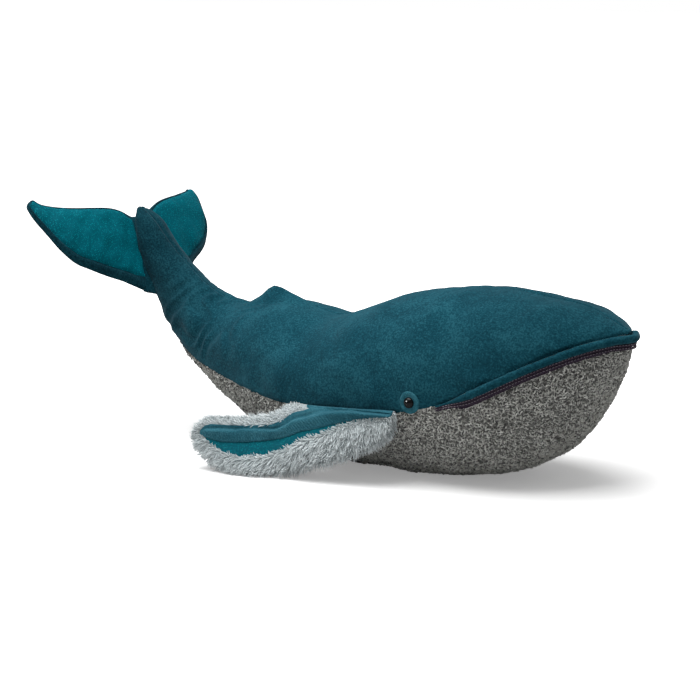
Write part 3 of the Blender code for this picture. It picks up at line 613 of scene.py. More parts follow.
def swollen_by():
    """How far each point of the shell moves outwards when it is stuffed."""
    rings, sewn = shell()
    closed = np.concatenate([rings[:, -1:], rings, rings[:, :1]], axis=1)
    out = outward_normals(closed, rings.mean(axis=1, keepdims=True).repeat(closed.shape[1], axis=1))[:, 1:-1]
    item = ringed("stuffing_shell", rings - SHELL_START * out, None)
    count = sewn.size
    moved = stuff(item, [int(k) for k in np.flatnonzero(sewn.reshape(-1))] + [count, count + 1])
    far = ((moved[:count].reshape(rings.shape) - rings) * out).sum(axis=-1)
    middle = np.median(far[~sewn])
    spans = (far[~sewn].min(), middle, far[~sewn].max())
    print("swollen by", [round(1000 * float(span), 2) for span in spans], "mm: least, median, most")
    far = np.where(sewn, 0, far - middle)
    for _ in range(SMOOTHINGS):
        far[1:-1] = (far[:-2] + 2 * far[1:-1] + far[2:]) / 4
        far = (np.roll(far, 1, axis=1) + 2 * far + np.roll(far, -1, axis=1)) / 4
    return np.clip(far, *SWELL_LIMITS)


swell_table = swollen_by()


def swell(places, shares, side):
    """The swelling at places along the body and shares of the arc from keel to ridge."""
    row = np.clip((places - SHELL_PLACES[0]) / (SHELL_PLACES[1] - SHELL_PLACES[0]), 0, 1) * (SHELL_ROWS - 1)
    column = shares * (SHELL_COLUMNS - 1)
    width = swell_table.shape[1]
    if side > 0:
        column = width - column
    i, j = np.minimum(row.astype(int), SHELL_ROWS - 2), np.floor(column).astype(int)
    u, v = row - i, column - j
    j, k = j % width, (j + 1) % width
    return ((swell_table[i, j] * (1 - v) + swell_table[i, k] * v) * (1 - u)
            + (swell_table[i + 1, j] * (1 - v) + swell_table[i + 1, k] * v) * u)


# %% Velour back pieces
VELOUR_SEEDS = {-1: 11, 1: 31}
edges = np.array([cloth_edges(place)[1] for place in places])[:, None]
back_shares = (edges + from_side) / (edges + from_side + from_ridge)
back_pieces = {}
for label, side in SIDES:
    swelling = swell(places[:, None] + 0 * back_shares, back_shares, side)
    height = velour_relief(back, VELOUR_SEEDS[side], swelling)
    grid = dorsal(back, places, from_ridge) + height[..., None] * back_out
    grid[..., 1] = np.minimum(grid[..., 1], -RIDGE_CLEAR)
    sewn = to_side(capped(hemmed(grid, back_out)), side)
    piece = grid_cloth("velour_back_" + label, sewn, to_side(back_out, side), velour, CLOTH_WALL)
    back_pieces[label] = piece
    print(piece.name, len(piece.data.polygons), "faces")

# %% [markdown]
# ## The curly belly
# Boucle is a woven ground with yarn loops standing on it. The ground is one sheet round the keel, sunk a
# little so that the loops fill the cloth's thickness, and flat where it rests on the floor.
# %% Belly ground
BELLY_PLACES, BELLY_ROWS, BELLY_COLUMNS = (5.15, 24.6), 230, 46
BELLY_LUMPS, BELLY_DEEPEST = ((0.0009, 0.045, 51), (0.0004, 0.018, 52)), -0.0009
LOOP_SINK, RIM_SINK, RIM_COLUMNS = 0.0016, 0.0009, 3.0
FLOOR_CLEAR, CHIN_REACH = 0.0003, 0.0035
BELLY_INSIDE = np.array([0, 0, 0.08])


def belly_grid():
    """The belly's ground, from the right seam under the keel to the left seam, and its swelling."""
    rows, pushed = [], []
    for place in np.linspace(*BELLY_PLACES, BELLY_ROWS):
        points, arc, _ = section(place)
        where = cloth_edges(place)[0] * crowded(BELLY_COLUMNS)
        right = at_arc(points, arc, where)
        rows.append(np.vstack([right[::-1], right[1:] * MIRROR]))
        both = [swell(place + 0 * where, where / arc[-1], side) for _, side in SIDES]
        pushed.append(np.r_[both[0][::-1], both[1][1:]])
    return np.array(rows), np.array(pushed)


belly, belly_swell = belly_grid()
belly_out = outward_normals(belly, BELLY_INSIDE)
belly_rise = np.maximum(layered_lumps(belly, BELLY_LUMPS) + belly_swell, BELLY_DEEPEST)
belly_rim = np.minimum(np.arange(belly.shape[1]), np.arange(belly.shape[1])[::-1])
belly_dip = LOOP_SINK + RIM_SINK * dip(belly_rim, RIM_COLUMNS)
belly_soft = belly + belly_rise[..., None] * belly_out - belly_dip[None, :, None] * belly_out
belly_soft[..., 2] = np.maximum(belly_soft[..., 2], FLOOR_CLEAR)
chin = belly_soft[-1]
chin_cap = end_cap(chin, (chin[0] + chin[-1]) / 2, FORWARD, CHIN_REACH)
belly_soft = np.vstack([belly_soft, chin_cap])
belly_out = np.vstack([belly_out, np.repeat(belly_out[-1:], len(chin_cap), axis=0)])
# The ground is far darker than the yarn loops: painted shade in the gaps between them
ground = flecked(
    "boucle_ground", 0.95, 420, 3, sheen=0.2, fineness=0.6, relief=(0.8, 0.0015),
    stops=((0.35, (0.050, 0.050, 0.048)), (0.55, (0.17, 0.172, 0.164)), (0.7, (0.30, 0.304, 0.29))))
belly_base = grid_cloth("boucle_ground", hemmed(belly_soft, belly_out), belly_out, ground, CLOTH_WALL)
print("belly ground", len(belly_base.data.polygons), "faces")

# %% [markdown]
# ## Repeating small shapes
# Yarn loops, stitches and fur strands are real shapes, repeated by Geometry Nodes. A tree takes its
# spacing and its shape as named inputs, and the last nodes of every tree are the same: put the shape at
# each point, store a random shade for it, make it real and give it its finish.
# %% Geometry Nodes helpers
DENSEST = 900000.0
SCATTER_INPUTS = (("Spacing", "Float"), ("Seed", "Int"), ("Shape", "Object"), ("Finish", "Material"))


def tree_with(name, inputs):
    """A geometry tree with a mesh in and out and named inputs."""
    tree = bpy.data.node_groups.new(name, "GeometryNodeTree")
    for label, kind in (("Mesh", "Geometry"), *inputs):
        tree.interface.new_socket(label, in_out="INPUT", socket_type="NodeSocket" + kind)
    tree.interface.new_socket("Mesh", in_out="OUTPUT", socket_type="NodeSocketGeometry")
    return tree, tree.nodes.new("NodeGroupInput").outputs


def geo(tree, kind, links=(), **settings):
    """A node of a tree, its properties and its linked or constant inputs."""
    node = tree.nodes.new(kind)
    for key, value in settings.items():
        setattr(node, key, value)
    for socket, value in dict(links).items():
        if isinstance(value, bpy.types.NodeSocket):
            tree.links.new(value, node.inputs[socket])
        else:
            node.inputs[socket].default_value = value
    return node


def random_value(tree, low, high, seed, kind="FLOAT"):
    """A Random Value node's output for one seed."""
    node = tree.nodes.new("FunctionNodeRandomValue")
    node.data_type = kind
    first, output = {"FLOAT": (2, 1), "FLOAT_VECTOR": (0, 0)}[kind]
    node.inputs[first].default_value = low
    node.inputs[first + 1].default_value = high
    node.inputs["Seed"].default_value = seed
    return node.outputs[output]


def spread(tree, given, **more):
    """Points spread evenly over the tree's mesh."""
    return geo(tree, "GeometryNodeDistributePointsOnFaces", {
        "Mesh": given["Mesh"], "Distance Min": given["Spacing"], "Density Max": DENSEST,
        "Seed": given["Seed"], **more,
    }, distribute_method="POISSON")


def turned(tree, rotation, low, high, seed):
    """A rotation turned further, by random angles between two limits."""
    angles = random_value(tree, low, high, seed, "FLOAT_VECTOR")
    by = geo(tree, "FunctionNodeEulerToRotation", {"Euler": angles}).outputs[0]
    links = {"Rotation": rotation, "Rotate By": by}
    return geo(tree, "FunctionNodeRotateRotation", links, rotation_space="LOCAL").outputs[0]


def planted(tree, given, points, rotation, **scale):
    """End a tree: its shape at each point, shaded at random, made real and given its finish."""
    shape = geo(tree, "GeometryNodeObjectInfo", {"Object": given["Shape"]})
    placed = geo(tree, "GeometryNodeInstanceOnPoints", {
        "Points": points, "Instance": shape.outputs["Geometry"], "Rotation": rotation, **scale})
    shaded = geo(tree, "GeometryNodeStoreNamedAttribute", {
        "Geometry": placed.outputs["Instances"], "Name": "shade", "Value": random_value(tree, 0.0, 1.0, 8),
    }, data_type="FLOAT", domain="INSTANCE")
    real = geo(tree, "GeometryNodeRealizeInstances", {"Geometry": shaded.outputs[0]})
    done = geo(tree, "GeometryNodeSetMaterial", {"Geometry": real.outputs[0], "Material": given["Finish"]})
    tree.links.new(done.outputs[0], tree.nodes.new("NodeGroupOutput").inputs[0])
    return tree


def grown(name, emitter, tree, values, lowest=None):
    """Run a tree over an emitter, keep the result as a plain mesh and drop the emitter."""
    modifier = emitter.modifiers.new("grow", "NODES")
    modifier.node_group = tree
    for socket in tree.interface.items_tree:
        if socket.in_out == "INPUT" and socket.name in values:
            modifier[socket.identifier] = values[socket.name]
    bpy.context.view_layer.update()
    shape = emitter.evaluated_get(bpy.context.evaluated_depsgraph_get())
    mesh = bpy.data.meshes.new_from_object(shape)
    bpy.data.objects.remove(emitter)
    mesh.name = name
    if lowest:
        for vertex in mesh.vertices:
            vertex.co.z = max(vertex.co.z, lowest)
    print(name, len(mesh.polygons), "faces")
    return put(name, mesh)


# %% Yarn loops
LOOP_SPACING, LOOP_SIZE, LOOP_TURN = 0.0020, 0.00130, 1.25 * math.pi
LOOP_RUN, LOOP_YARN, LOOP_SIDES, LOOP_TILT, BELLY_STRIPS = 5, 0.52, 3, 0.9, 6


def yarn_loop():
    """One bent yarn, about one unit across: over half a ring that rises in its middle."""
    work = bmesh.new()
    rings = []
    for turn in np.linspace(0, LOOP_TURN, LOOP_RUN):
        away = Vector((math.cos(turn), math.sin(turn), 0))
        middle = away + Vector((0, 0, 0.15 + 0.6 * math.sin(turn * math.pi / LOOP_TURN)))
        rings.append([
            work.verts.new(middle + LOOP_YARN * (away * math.cos(a) + Vector((0, 0, math.sin(a)))))
            for a in np.linspace(0, 2 * math.pi, LOOP_SIDES, endpoint=False)])
    return shape_to_repeat("yarn_loop", work, rings)


def scatter_tree():
    """Instances of one shape spread over a mesh, spun and sized at random."""
    tree, given = tree_with("scatter_loops", (("Size", "Float"), *SCATTER_INPUTS))
    points = spread(tree, given)
    tilt, whole = (LOOP_TILT, LOOP_TILT), 2 * math.pi
    rotation = turned(tree, points.outputs["Rotation"], (-LOOP_TILT, -LOOP_TILT, 0.0), (*tilt, whole), 3)
    size = geo(tree, "ShaderNodeMath", {0: random_value(tree, 0.7, 1.25, 5), 1: given["Size"]},
               operation="MULTIPLY")
    return planted(tree, given, points.outputs["Points"], rotation, Scale=size.outputs[0])


loop_finish, tree, shader, place = new_finish("boucle_yarn", 0.9, 0.25)
fuzz = noise_node(tree, place, 900, 2)
mix = weighted(tree, (stored(tree, "shade"), 0.7), (fuzz, 0.3))
yarn_stops = ((0.16, (0.090, 0.090, 0.084)), (0.28, (0.390, 0.390, 0.366)),
              (0.62, (0.560, 0.562, 0.530)), (0.88, (0.76, 0.765, 0.725)))
join(tree, ramp(tree, mix, yarn_stops), shader.inputs["Base Color"])
join(tree, bumped(tree, fuzz, 0.5, 0.0004), shader.inputs["Normal"])

loop_tree, loop = scatter_tree(), yarn_loop()
belly_loops = []
cuts = np.linspace(0, len(belly_soft) - 1, BELLY_STRIPS + 1).astype(int)
for k, (a, b) in enumerate(zip(cuts, cuts[1:])):
    strip = grid_cloth("strip", belly_soft[a:b + 1], belly_out[a:b + 1], None)
    belly_loops.append(grown(f"boucle_loops_{k + 1}", strip, loop_tree, {
        "Spacing": LOOP_SPACING, "Size": LOOP_SIZE, "Seed": 40 + k, "Shape": loop, "Finish": loop_finish,
    }, FLOOR_CLEAR))
bpy.data.objects.remove(loop)

# %% [markdown]
# ## The mouth's edge
# The lip is a velour piping rolled round a cord. Under it lie two ridges of plum tape, stitched along
# their crests. All three follow one curve round the snout, each lower than the last.
# %% Mouth curves
MOUTH_ROWS, FRAME_STEP, SLOPE_ROWS = 60, 0.05, 5
PIPING_RINGS, PIPING_SIDES, TAPE_RINGS, TAPE_SIDES = 420, 20, 360, 12


def surface_frame(place, where):
    """A point of the right side's surface and its outward normal."""
    around = [section(place + step) for step in (-FRAME_STEP, 0, FRAME_STEP)]
    points, arc, _ = around[1]
    share = where / arc[-1]
    here = [at_arc(line, run, share * run[-1]) for line, run, _ in around]
    low, high = (at_arc(points, arc, where + step) for step in (-PIPING_RADIUS, PIPING_RADIUS))
    normal = unit(np.cross(here[2] - here[0], high - low))
    return here[1], normal * (-1 if normal[1] > 0 else 1)


def lip_path(drop, order, proud, radius):
    """Points, radii and surface normals along the mouth's edge, from corner to corner."""
    right = []
    start_drop = order * (2 * MOUTH_START_RADIUS + MOUTH_GAP)
    start_proud = MOUTH_START_RADIUS + 2 * MOUTH_GAP
    for place in np.linspace(MOUTH_CORNER, MOUTH_FRONT, MOUTH_ROWS):
        opened = mouth_open(place - MOUTH_LAG)
        seam = section(place)[2]
        point, normal = surface_frame(place, seam - drop * opened - start_drop * (1 - opened))
        centre = point + (proud * opened + start_proud * (1 - opened)) * normal
        right.append(np.r_[centre, radius * opened + MOUTH_START_RADIUS * (1 - opened), normal])
    front = section(LAST_SECTION)[0][:, 0].max() + PIPING_RADIUS + MOUTH_GAP
    slope = (right[-1][2] - right[-1 - SLOPE_ROWS][2]) / 2
    apex = np.r_[front, 0, right[-1][2] + slope, radius, FORWARD]
    return np.array(right + [apex] + [p * np.r_[MIRROR, 1, MIRROR] for p in right[::-1]])


def smooth_path(points, count):
    """Evenly spaced points on a smooth curve through the given ones."""
    last = len(points) - 1
    fine = np.array([smooth_row(points, t) for t in np.linspace(0, last, 6 * last + 1)])
    run = run_along(fine[:, :3])
    even = np.linspace(0, run[-1], count)
    return np.stack([np.interp(even, run, fine[:, k]) for k in range(fine.shape[1])], axis=1)


def path_frame(path):
    """Unit vectors away from the cloth and up across it, at each point of a path."""
    along = unit(np.gradient(path[:, :3], axis=0))
    out = unit(path[:, 4:7] - along * (path[:, 4:7] * along).sum(axis=1, keepdims=True))
    return out, np.cross(along, out)


def swept(name, path, profile, finish):
    """A closed tube: each path point carries a radius and a normal, and profile gives the radius's share."""
    turns = np.linspace(0, 2 * math.pi, profile.shape[1], endpoint=False)[:, None]
    rings = [point[:3] + point[3] * shares[:, None] * (np.cos(turns) * out + np.sin(turns) * up)
             for point, shares, out, up in zip(path, profile, *path_frame(path))]
    return ringed(name, np.array(rings), finish)


path = smooth_path(lip_path(0, 0, LIP_PROUD, PIPING_RADIUS), PIPING_RINGS)
slow_wobble = 0.035 * lumps(path[:, :3], 0.016, 61)
wobble = np.array([
    1 + slow_wobble + 0.05 * lumps(path[:, :3] + 0.004 * math.cos(a), 0.006, 62) * abs(math.sin(a))
    for a in np.linspace(0, 2 * math.pi, PIPING_SIDES, endpoint=False)]).T
piping = swept("lip_piping_velour", path, wobble, velour)

tape = flecked("plum_tape", 0.7, 1500, 2, ((0.35, (0.016, 0.010, 0.019)), (0.65, (0.046, 0.031, 0.052))),
               sheen=0.15, relief=(0.5, 0.0004))
first_drop = PIPING_RADIUS + MOUTH_GAP + TRIM_RADIUS
tape_paths, tapes = {}, {}
for name, drop, order in (("upper", first_drop, 1), ("lower", first_drop + MOUTH_GAP + 2 * TRIM_RADIUS, 2)):
    path = smooth_path(lip_path(drop, order, TRIM_PROUD, TRIM_RADIUS), TAPE_RINGS)
    profile = np.ones((TAPE_RINGS, TAPE_SIDES)) * (1 + 0.03 * lumps(path[:, :3], 0.01, 70 + order))[:, None]
    tapes[name], tape_paths[name] = swept("mouth_tape_" + name, path, profile, tape), path
print("mouth edge", round(run_along(path[:, :3])[-1], 3), "m long")

# %% [markdown]
# ## Under the seams
# Between two hems a seam would show the stuffing. A strip of cloth lies just under them: velour where the
# two back panels meet, along the ridge and under the tail's tongue, and plum behind the tape along the
# mouth. On the real toy these are the seam allowances, pressed flat.
# %% Cloth under the seams
STRIP_HALF, STRIP_COLUMNS, STRIP_SINK, STRIP_WALL = 0.0036, 4, 0.0008, 0.0004
KEEL_END, KEEL_ROWS, RIDGE_END, RIDGE_ROWS = 5.25, 80, 24.6, 330
BACKING_ROWS, BACKING_COLUMNS, BACKING_SINK, BACKING_LAP, BACKING_WALL = 150, 12, 0.0010, 0.0010, 0.0006
BACKING_INSIDE = np.array([0, 0, 0.1])


def seam_strip(name, end, count, on_ridge):
    """A narrow strip of velour just under the seam along the keel or the ridge."""
    spots, half = np.linspace(0, end, count), np.linspace(0, STRIP_HALF, STRIP_COLUMNS)
    rows, centres = [], []
    for place in spots:
        points, arc, _ = section(place)
        rows.append(at_arc(points, arc, arc[-1] - half if on_ridge else half))
        centres.append((points[0] + points[-1]) / 2)
    right = np.array(rows)
    if on_ridge:
        right = dorsal(right, spots, np.tile(half, (count, 1)))
    grid = np.concatenate([right[:, ::-1], right[:, 1:] * MIRROR], axis=1)
    out = outward_normals(grid, np.array(centres)[:, None])
    strip = grid_cloth(name, grid - STRIP_SINK * out, out, velour, STRIP_WALL)
    print(name, len(strip.data.polygons), "faces")
    return strip


def tape_backing():
    """A sheet of plum cloth behind the tape, from one corner of the mouth round the snout to the other."""
    rows = []
    for place in np.linspace(MOUTH_CORNER, BACK_END, BACKING_ROWS):
        points, arc, _ = section(place)
        low, high = cloth_edges(place)
        top = max(high - PIPING_RADIUS * mouth_open(place), low + BACKING_LAP)
        rows.append(at_arc(points, arc, np.linspace(low - BACKING_LAP, top, BACKING_COLUMNS)))
    strip = np.array(rows)
    out = outward_normals(strip, BACKING_INSIDE)
    strip = strip - BACKING_SINK * out
    front = end_cap(strip[-1], strip[-1] * FLAT, FORWARD, CHIN_REACH)
    right = np.vstack([strip, front])
    whole = np.vstack([right, right[::-1] * MIRROR])
    whole_out = np.vstack([out, np.repeat(out[-1:], 2 * len(front), axis=0), out[::-1] * MIRROR])
    return grid_cloth("mouth_backing", whole, whole_out, tape, BACKING_WALL)


seam_strips = [seam_strip("tail_seam_backing", KEEL_END, KEEL_ROWS, False),
               seam_strip("ridge_seam_backing", RIDGE_END, RIDGE_ROWS, True)]
mouth_backing = tape_backing()

# %% [markdown]
# ## Stitches
# Two rows of machine stitches run along the crests of the tape. The tree turns a line into a curve, walks
# it in equal steps, and lays one stitch along the line at each step.
# %% Stitches along the tape
STITCH_STEP, STITCH_LENGTH, STITCH_THICKNESS, STITCH_LEAN, STITCH_SIDES = 0.0032, 0.0021, 0.00040, 0.45, 5
UNSTITCHED = 8


def stitch_shape():
    """One short thread, thicker in its middle, with its length along X."""
    work = bmesh.new()
    rings = []
    for x, share in ((-0.5, 0.25), (-0.3, 0.9), (0.3, 0.9), (0.5, 0.25)):
        r = share * STITCH_THICKNESS
        rings.append([work.verts.new((x * STITCH_LENGTH, r * math.cos(a), r * math.sin(a)))
                      for a in np.linspace(0, 2 * math.pi, STITCH_SIDES, endpoint=False)])
    return shape_to_repeat("stitch_shape", work, rings)


def sewing_tree():
    """One shape at equal steps along a line, turned to follow it."""
    tree, given = tree_with("sewing", (("Step", "Float"), ("Shape", "Object"), ("Finish", "Material")))
    line = geo(tree, "GeometryNodeMeshToCurve", {"Mesh": given["Mesh"]})
    walk = geo(tree, "GeometryNodeResampleCurve", {"Curve": line.outputs[0]})
    walk.mode = "LENGTH"
    tree.links.new(given["Step"], walk.inputs["Length"])
    way = geo(tree, "GeometryNodeInputTangent")
    turn = geo(tree, "FunctionNodeAlignRotationToVector", {"Vector": way.outputs[0]}, axis="X")
    return planted(tree, given, walk.outputs[0], turn.outputs[0])


def sewing_line(path):
    """The crest of a tape's ridge as a line of edges, short of both corners of the mouth."""
    out, up = path_frame(path)
    up = up * np.sign(up[:, 2:3])
    crest = path[:, :3] + path[:, 3:4] * (math.cos(STITCH_LEAN) * out + math.sin(STITCH_LEAN) * up)
    crest = crest[UNSTITCHED:-UNSTITCHED]
    mesh = bpy.data.meshes.new("sewing_line")
    mesh.from_pydata(crest.tolist(), [(k, k + 1) for k in range(len(crest) - 1)], [])
    return put("sewing_line", mesh)


thread = flecked("tape_thread", 0.6, 1800, 1, ((0.3, (0.14, 0.12, 0.145)), (0.7, (0.34, 0.30, 0.345))),
                 sheen=0.1, specular=0.3)
sew_tree, stitch = sewing_tree(), stitch_shape()
stitch_rows = {
    name: grown("tape_stitches_" + name, sewing_line(path), sew_tree, {
        "Step": STITCH_STEP, "Shape": stitch, "Finish": thread})
    for name, path in tape_paths.items()}
bpy.data.objects.remove(stitch)

# %% [markdown]
# ## Fins and flukes
# Each is a stuffed leaf between an inner and an outer edge, sewn along its root. The root is a half roll
# about the hinge line, so the leaf can swing without opening a gap. The leaf's two faces are sampled as
# finely as needed; the top is sunk a little where another cloth lies on it.
# %% Leaf surfaces
LEAF_TIP_SHARE = 0.05
ROLL_STEPS = np.array([1.0, 0.94, 0.80, 0.60, 0.38, 0.18])
EDGE_STEPS = np.array([0.35, 0.65, 0.87, 1.0])


def leaf_thickness(columns, rows, root, swell, edge, at_root):
    """Half thickness: round where it is sewn, swollen in the middle, thin at its free edges."""
    crown = np.sqrt(np.clip(1 - (2 * columns - 1) ** 2, 0, 1))
    fade = np.sqrt(np.clip(1 - rows**3, LEAF_TIP_SHARE, 1))[:, None]
    return edge + (swell - edge) * crown * fade + (root - edge) * at_root


def resampled(table, count):
    """A table's rows on a smooth curve, as many as wanted."""
    return np.array([smooth_row(table, t) for t in np.linspace(0, len(table) - 1, count)])


def leaf_frame(inner, outer):
    """One normal for each row of a leaf, and its chord."""
    along = np.gradient((inner + outer) / 2, axis=0)
    return unit(np.cross(along, outer - inner)), np.linalg.norm(outer - inner, axis=1)


def leaf_at(leaf, columns, height):
    """Points of a leaf at shares of its chord, and at a height along its rows' normals."""
    middle = leaf["inner"][:, None] + (leaf["outer"] - leaf["inner"])[:, None] * columns[..., None]
    return middle + height[..., None] * leaf["normal"][:, None]


def leaf_cloth(name, leaf, grid, side, finish):
    """A cloth on a leaf's top, on either side of the whale."""
    out = np.repeat(leaf["normal"][:, None], grid.shape[1], axis=1)
    return grid_cloth(name, to_side(grid, side), to_side(out, side), finish, CLOTH_WALL)


# %% Fin shape
FIN_FRONT, FIN_REAR = np.array([0.1189, -0.1105, 0.0734]), np.array([-0.0074, -0.1032, 0.0651])
FIN_LENGTH, FIN_SPREAD = 0.222, 0.040
FIN_ROOT_RADIUS, FIN_SWELL, FIN_EDGE = 0.0045, 0.0085, 0.0022
FIN_OUTER_SHARES = np.array((
    (0.010, 0.04, 0.24), (0.035, 0.07, 0.31), (0.100, 0.16, 0.45), (0.240, 0.38, 0.64), (0.370, 0.53, 0.76),
    (0.520, 0.62, 0.93), (0.645, 0.88, 1.00), (0.790, 1.00, 1.00), (0.920, 1.00, 0.90), (1.000, 0.95, 0.72),
))
FIN_INNER_FREE_SHARES = np.array((
    (0.165, 0.20, 0.16), (0.395, 0.32, 0.25), (0.650, 0.60, 0.29), (0.860, 0.92, 0.30), (0.990, 1.11, 0.49),
))
FIN_ROOT_ROW_SHARES = np.array((0.0, 0.05, 0.33, 0.67, 1.0))
FIN_ROOT_FADE = 0.25
# row, then the velour's hem, the fold's crest, the fold's foot and the teal band's edge, as chord shares
FIN_LINES = np.array((
    (0.00, -0.10, 0.00, 0.10, 0.12), (0.08, -0.08, 0.02, 0.10, 0.12), (0.16, -0.06, 0.04, 0.16, 0.18),
    (0.24, -0.05, 0.05, 0.27, 0.31), (0.32, -0.03, 0.15, 0.38, 0.46), (0.40, 0.10, 0.30, 0.49, 0.60),
    (0.48, 0.19, 0.37, 0.52, 0.66), (0.56, 0.16, 0.33, 0.46, 0.68), (0.64, 0.15, 0.28, 0.46, 0.71),
    (0.72, 0.13, 0.26, 0.46, 0.73), (0.80, 0.10, 0.26, 0.47, 0.66), (0.86, 0.08, 0.26, 0.44, 0.52),
    (0.90, 0.11, 0.24, 0.38, 0.38), (0.925, 0.22, 0.24, 0.26, 0.26), (1.00, 0.22, 0.24, 0.26, 0.26),
))
FIN_ROWS, ROOT_WRAP, ROOT_WRAP_ROWS = 420, 0.96, (0.33, 0.40)
LINE_SMOOTHING = np.hanning(19)[1:-1] / 9


def fin_leaf():
    """The right fin's edges, normals and the lines where its cloths meet."""
    drop = FIN_EDGE + MOUTH_GAP
    outer = FIN_FRONT + FIN_OUTER_SHARES * np.array([-FIN_LENGTH, -FIN_SPREAD, drop - FIN_FRONT[2]])
    root = FIN_FRONT + (FIN_REAR - FIN_FRONT) * FIN_ROOT_ROW_SHARES[:, None]
    free = np.array([FIN_FRONT[0] - FIN_REAR[0] - FIN_LENGTH, -FIN_SPREAD, drop - FIN_REAR[2]])
    inner = np.vstack([root, FIN_REAR + FIN_INNER_FREE_SHARES * free])
    leaf = {"inner": resampled(inner, FIN_ROWS), "outer": resampled(outer, FIN_ROWS)}
    leaf["normal"], leaf["chord"] = leaf_frame(leaf["inner"], leaf["outer"])
    leaf["rows"] = np.linspace(0, 1, FIN_ROWS)
    for k, key in enumerate(("hem", "crest", "fold", "teal"), 1):
        line = np.pad(np.interp(leaf["rows"], FIN_LINES[:, 0], FIN_LINES[:, k]), 8, mode="edge")
        leaf[key] = np.convolve(line, LINE_SMOOTHING, mode="valid")
    wrapped = -ROOT_WRAP * FIN_ROOT_RADIUS / leaf["chord"]
    leaf["hem"] = wrapped + (leaf["hem"] - wrapped) * smooth_step(leaf["rows"], *ROOT_WRAP_ROWS)
    leaf["run"] = run_along(leaf["outer"])
    return leaf


def fin_half(leaf, columns):
    """Half thickness of the fin at shares of its chord."""
    at_root = np.clip(1 - columns / FIN_ROOT_FADE, 0, 1)
    return leaf_thickness(columns, leaf["rows"], FIN_ROOT_RADIUS, FIN_SWELL, FIN_EDGE, at_root)


fin = fin_leaf()
print("fin normal", fin["normal"][100].round(2), "chord", round(float(fin["chord"].max()), 3), "m")

# %% [markdown]
# ## The fin's cloths
# The fur's ground goes round the whole leaf. A velour leaf lies on its top with one raised, ribbed fold,
# and a shiny teal band lies beside the fold. Both cloths lap over their neighbours' edges a little.
# %% Fin cloths
FUR_INSET, TIP_INSET, TIP_INSET_ROWS = 0.0060, 0.0050, (0.72, 0.92)
SINK, SINK_EASE, FIN_COLUMNS = 0.0016, 0.0015, 34
BARE_ROOT_SHARE, BARE_ROOT_END = 0.012, 0.385
LEAF_END, LEAF_COLUMNS, LEAF_LIFT = 0.92, 40, 0.0005
TEAL_SPAN, TEAL_COLUMNS, TEAL_LAP = (0.16, 0.885), 18, 0.0025
FOLD_HEIGHT, FOLD_VALLEY, RIB_LENGTH, RIB_HEIGHT, RIB_SLANT = 0.0042, 0.0012, 0.0031, 0.00056, 2.4


def fin_surface():
    """The top and bottom of the furred leaf: the root's roll, the leaf itself and its rounded outer edge."""
    chord = fin["chord"][:, None]
    inset = (FUR_INSET + TIP_INSET * smooth_step(fin["rows"], *TIP_INSET_ROWS))[:, None]
    body = np.linspace(0, 1, FIN_COLUMNS) * (1 - inset / chord)
    half = fin_half(fin, body)
    roll_half = np.tile(FIN_ROOT_RADIUS * np.sqrt(1 - ROLL_STEPS**2), (FIN_ROWS, 1))
    edge = body[:, -1:] + EDGE_STEPS * half[:, -1:] / chord
    across = np.hstack([-ROLL_STEPS * FIN_ROOT_RADIUS / chord, body, edge])
    thick = np.hstack([roll_half, half, half[:, -1:] * np.sqrt(1 - EDGE_STEPS**2)])
    low, high, soft = fin["hem"][:, None], fin["teal"][:, None], SINK_EASE / chord
    sunk = SINK * smooth_step(across, low, low + soft) * (1 - smooth_step(across, high - soft, high))
    top, bottom = leaf_at(fin, across, thick - sunk), leaf_at(fin, across, -thick)
    bottom[..., 2] = np.maximum(bottom[..., 2], FLOOR_CLEAR)
    top[..., 2] = np.maximum(top[..., 2], 2 * FLOOR_CLEAR)
    return top, bottom, across


def fin_part(low, high):
    """The fin's rows between two shares of its length."""
    kept = (fin["rows"] > low) & (fin["rows"] < high)
    return {key: value[kept] for key, value in fin.items()}


def fur_backing(label, side):
    """The fur's ground round the whole leaf, with velour where its root turns under the body."""
    rings = np.concatenate([fin_top, fin_bottom[:, -2:0:-1]], axis=1)
    shares = np.concatenate([fin_across, fin_across[:, -2:0:-1]], axis=1)
    backing = ringed("fin_fur_backing_" + label, to_side(rings, side), fur_ground)
    backing.data.materials.append(velour_light)
    for face in backing.data.polygons[:(len(rings) - 1) * rings.shape[1]]:
        row, column = divmod(face.index, rings.shape[1])
        if shares[row, column] < BARE_ROOT_SHARE and fin["rows"][row] < BARE_ROOT_END:
            face.material_index = 1
    return backing


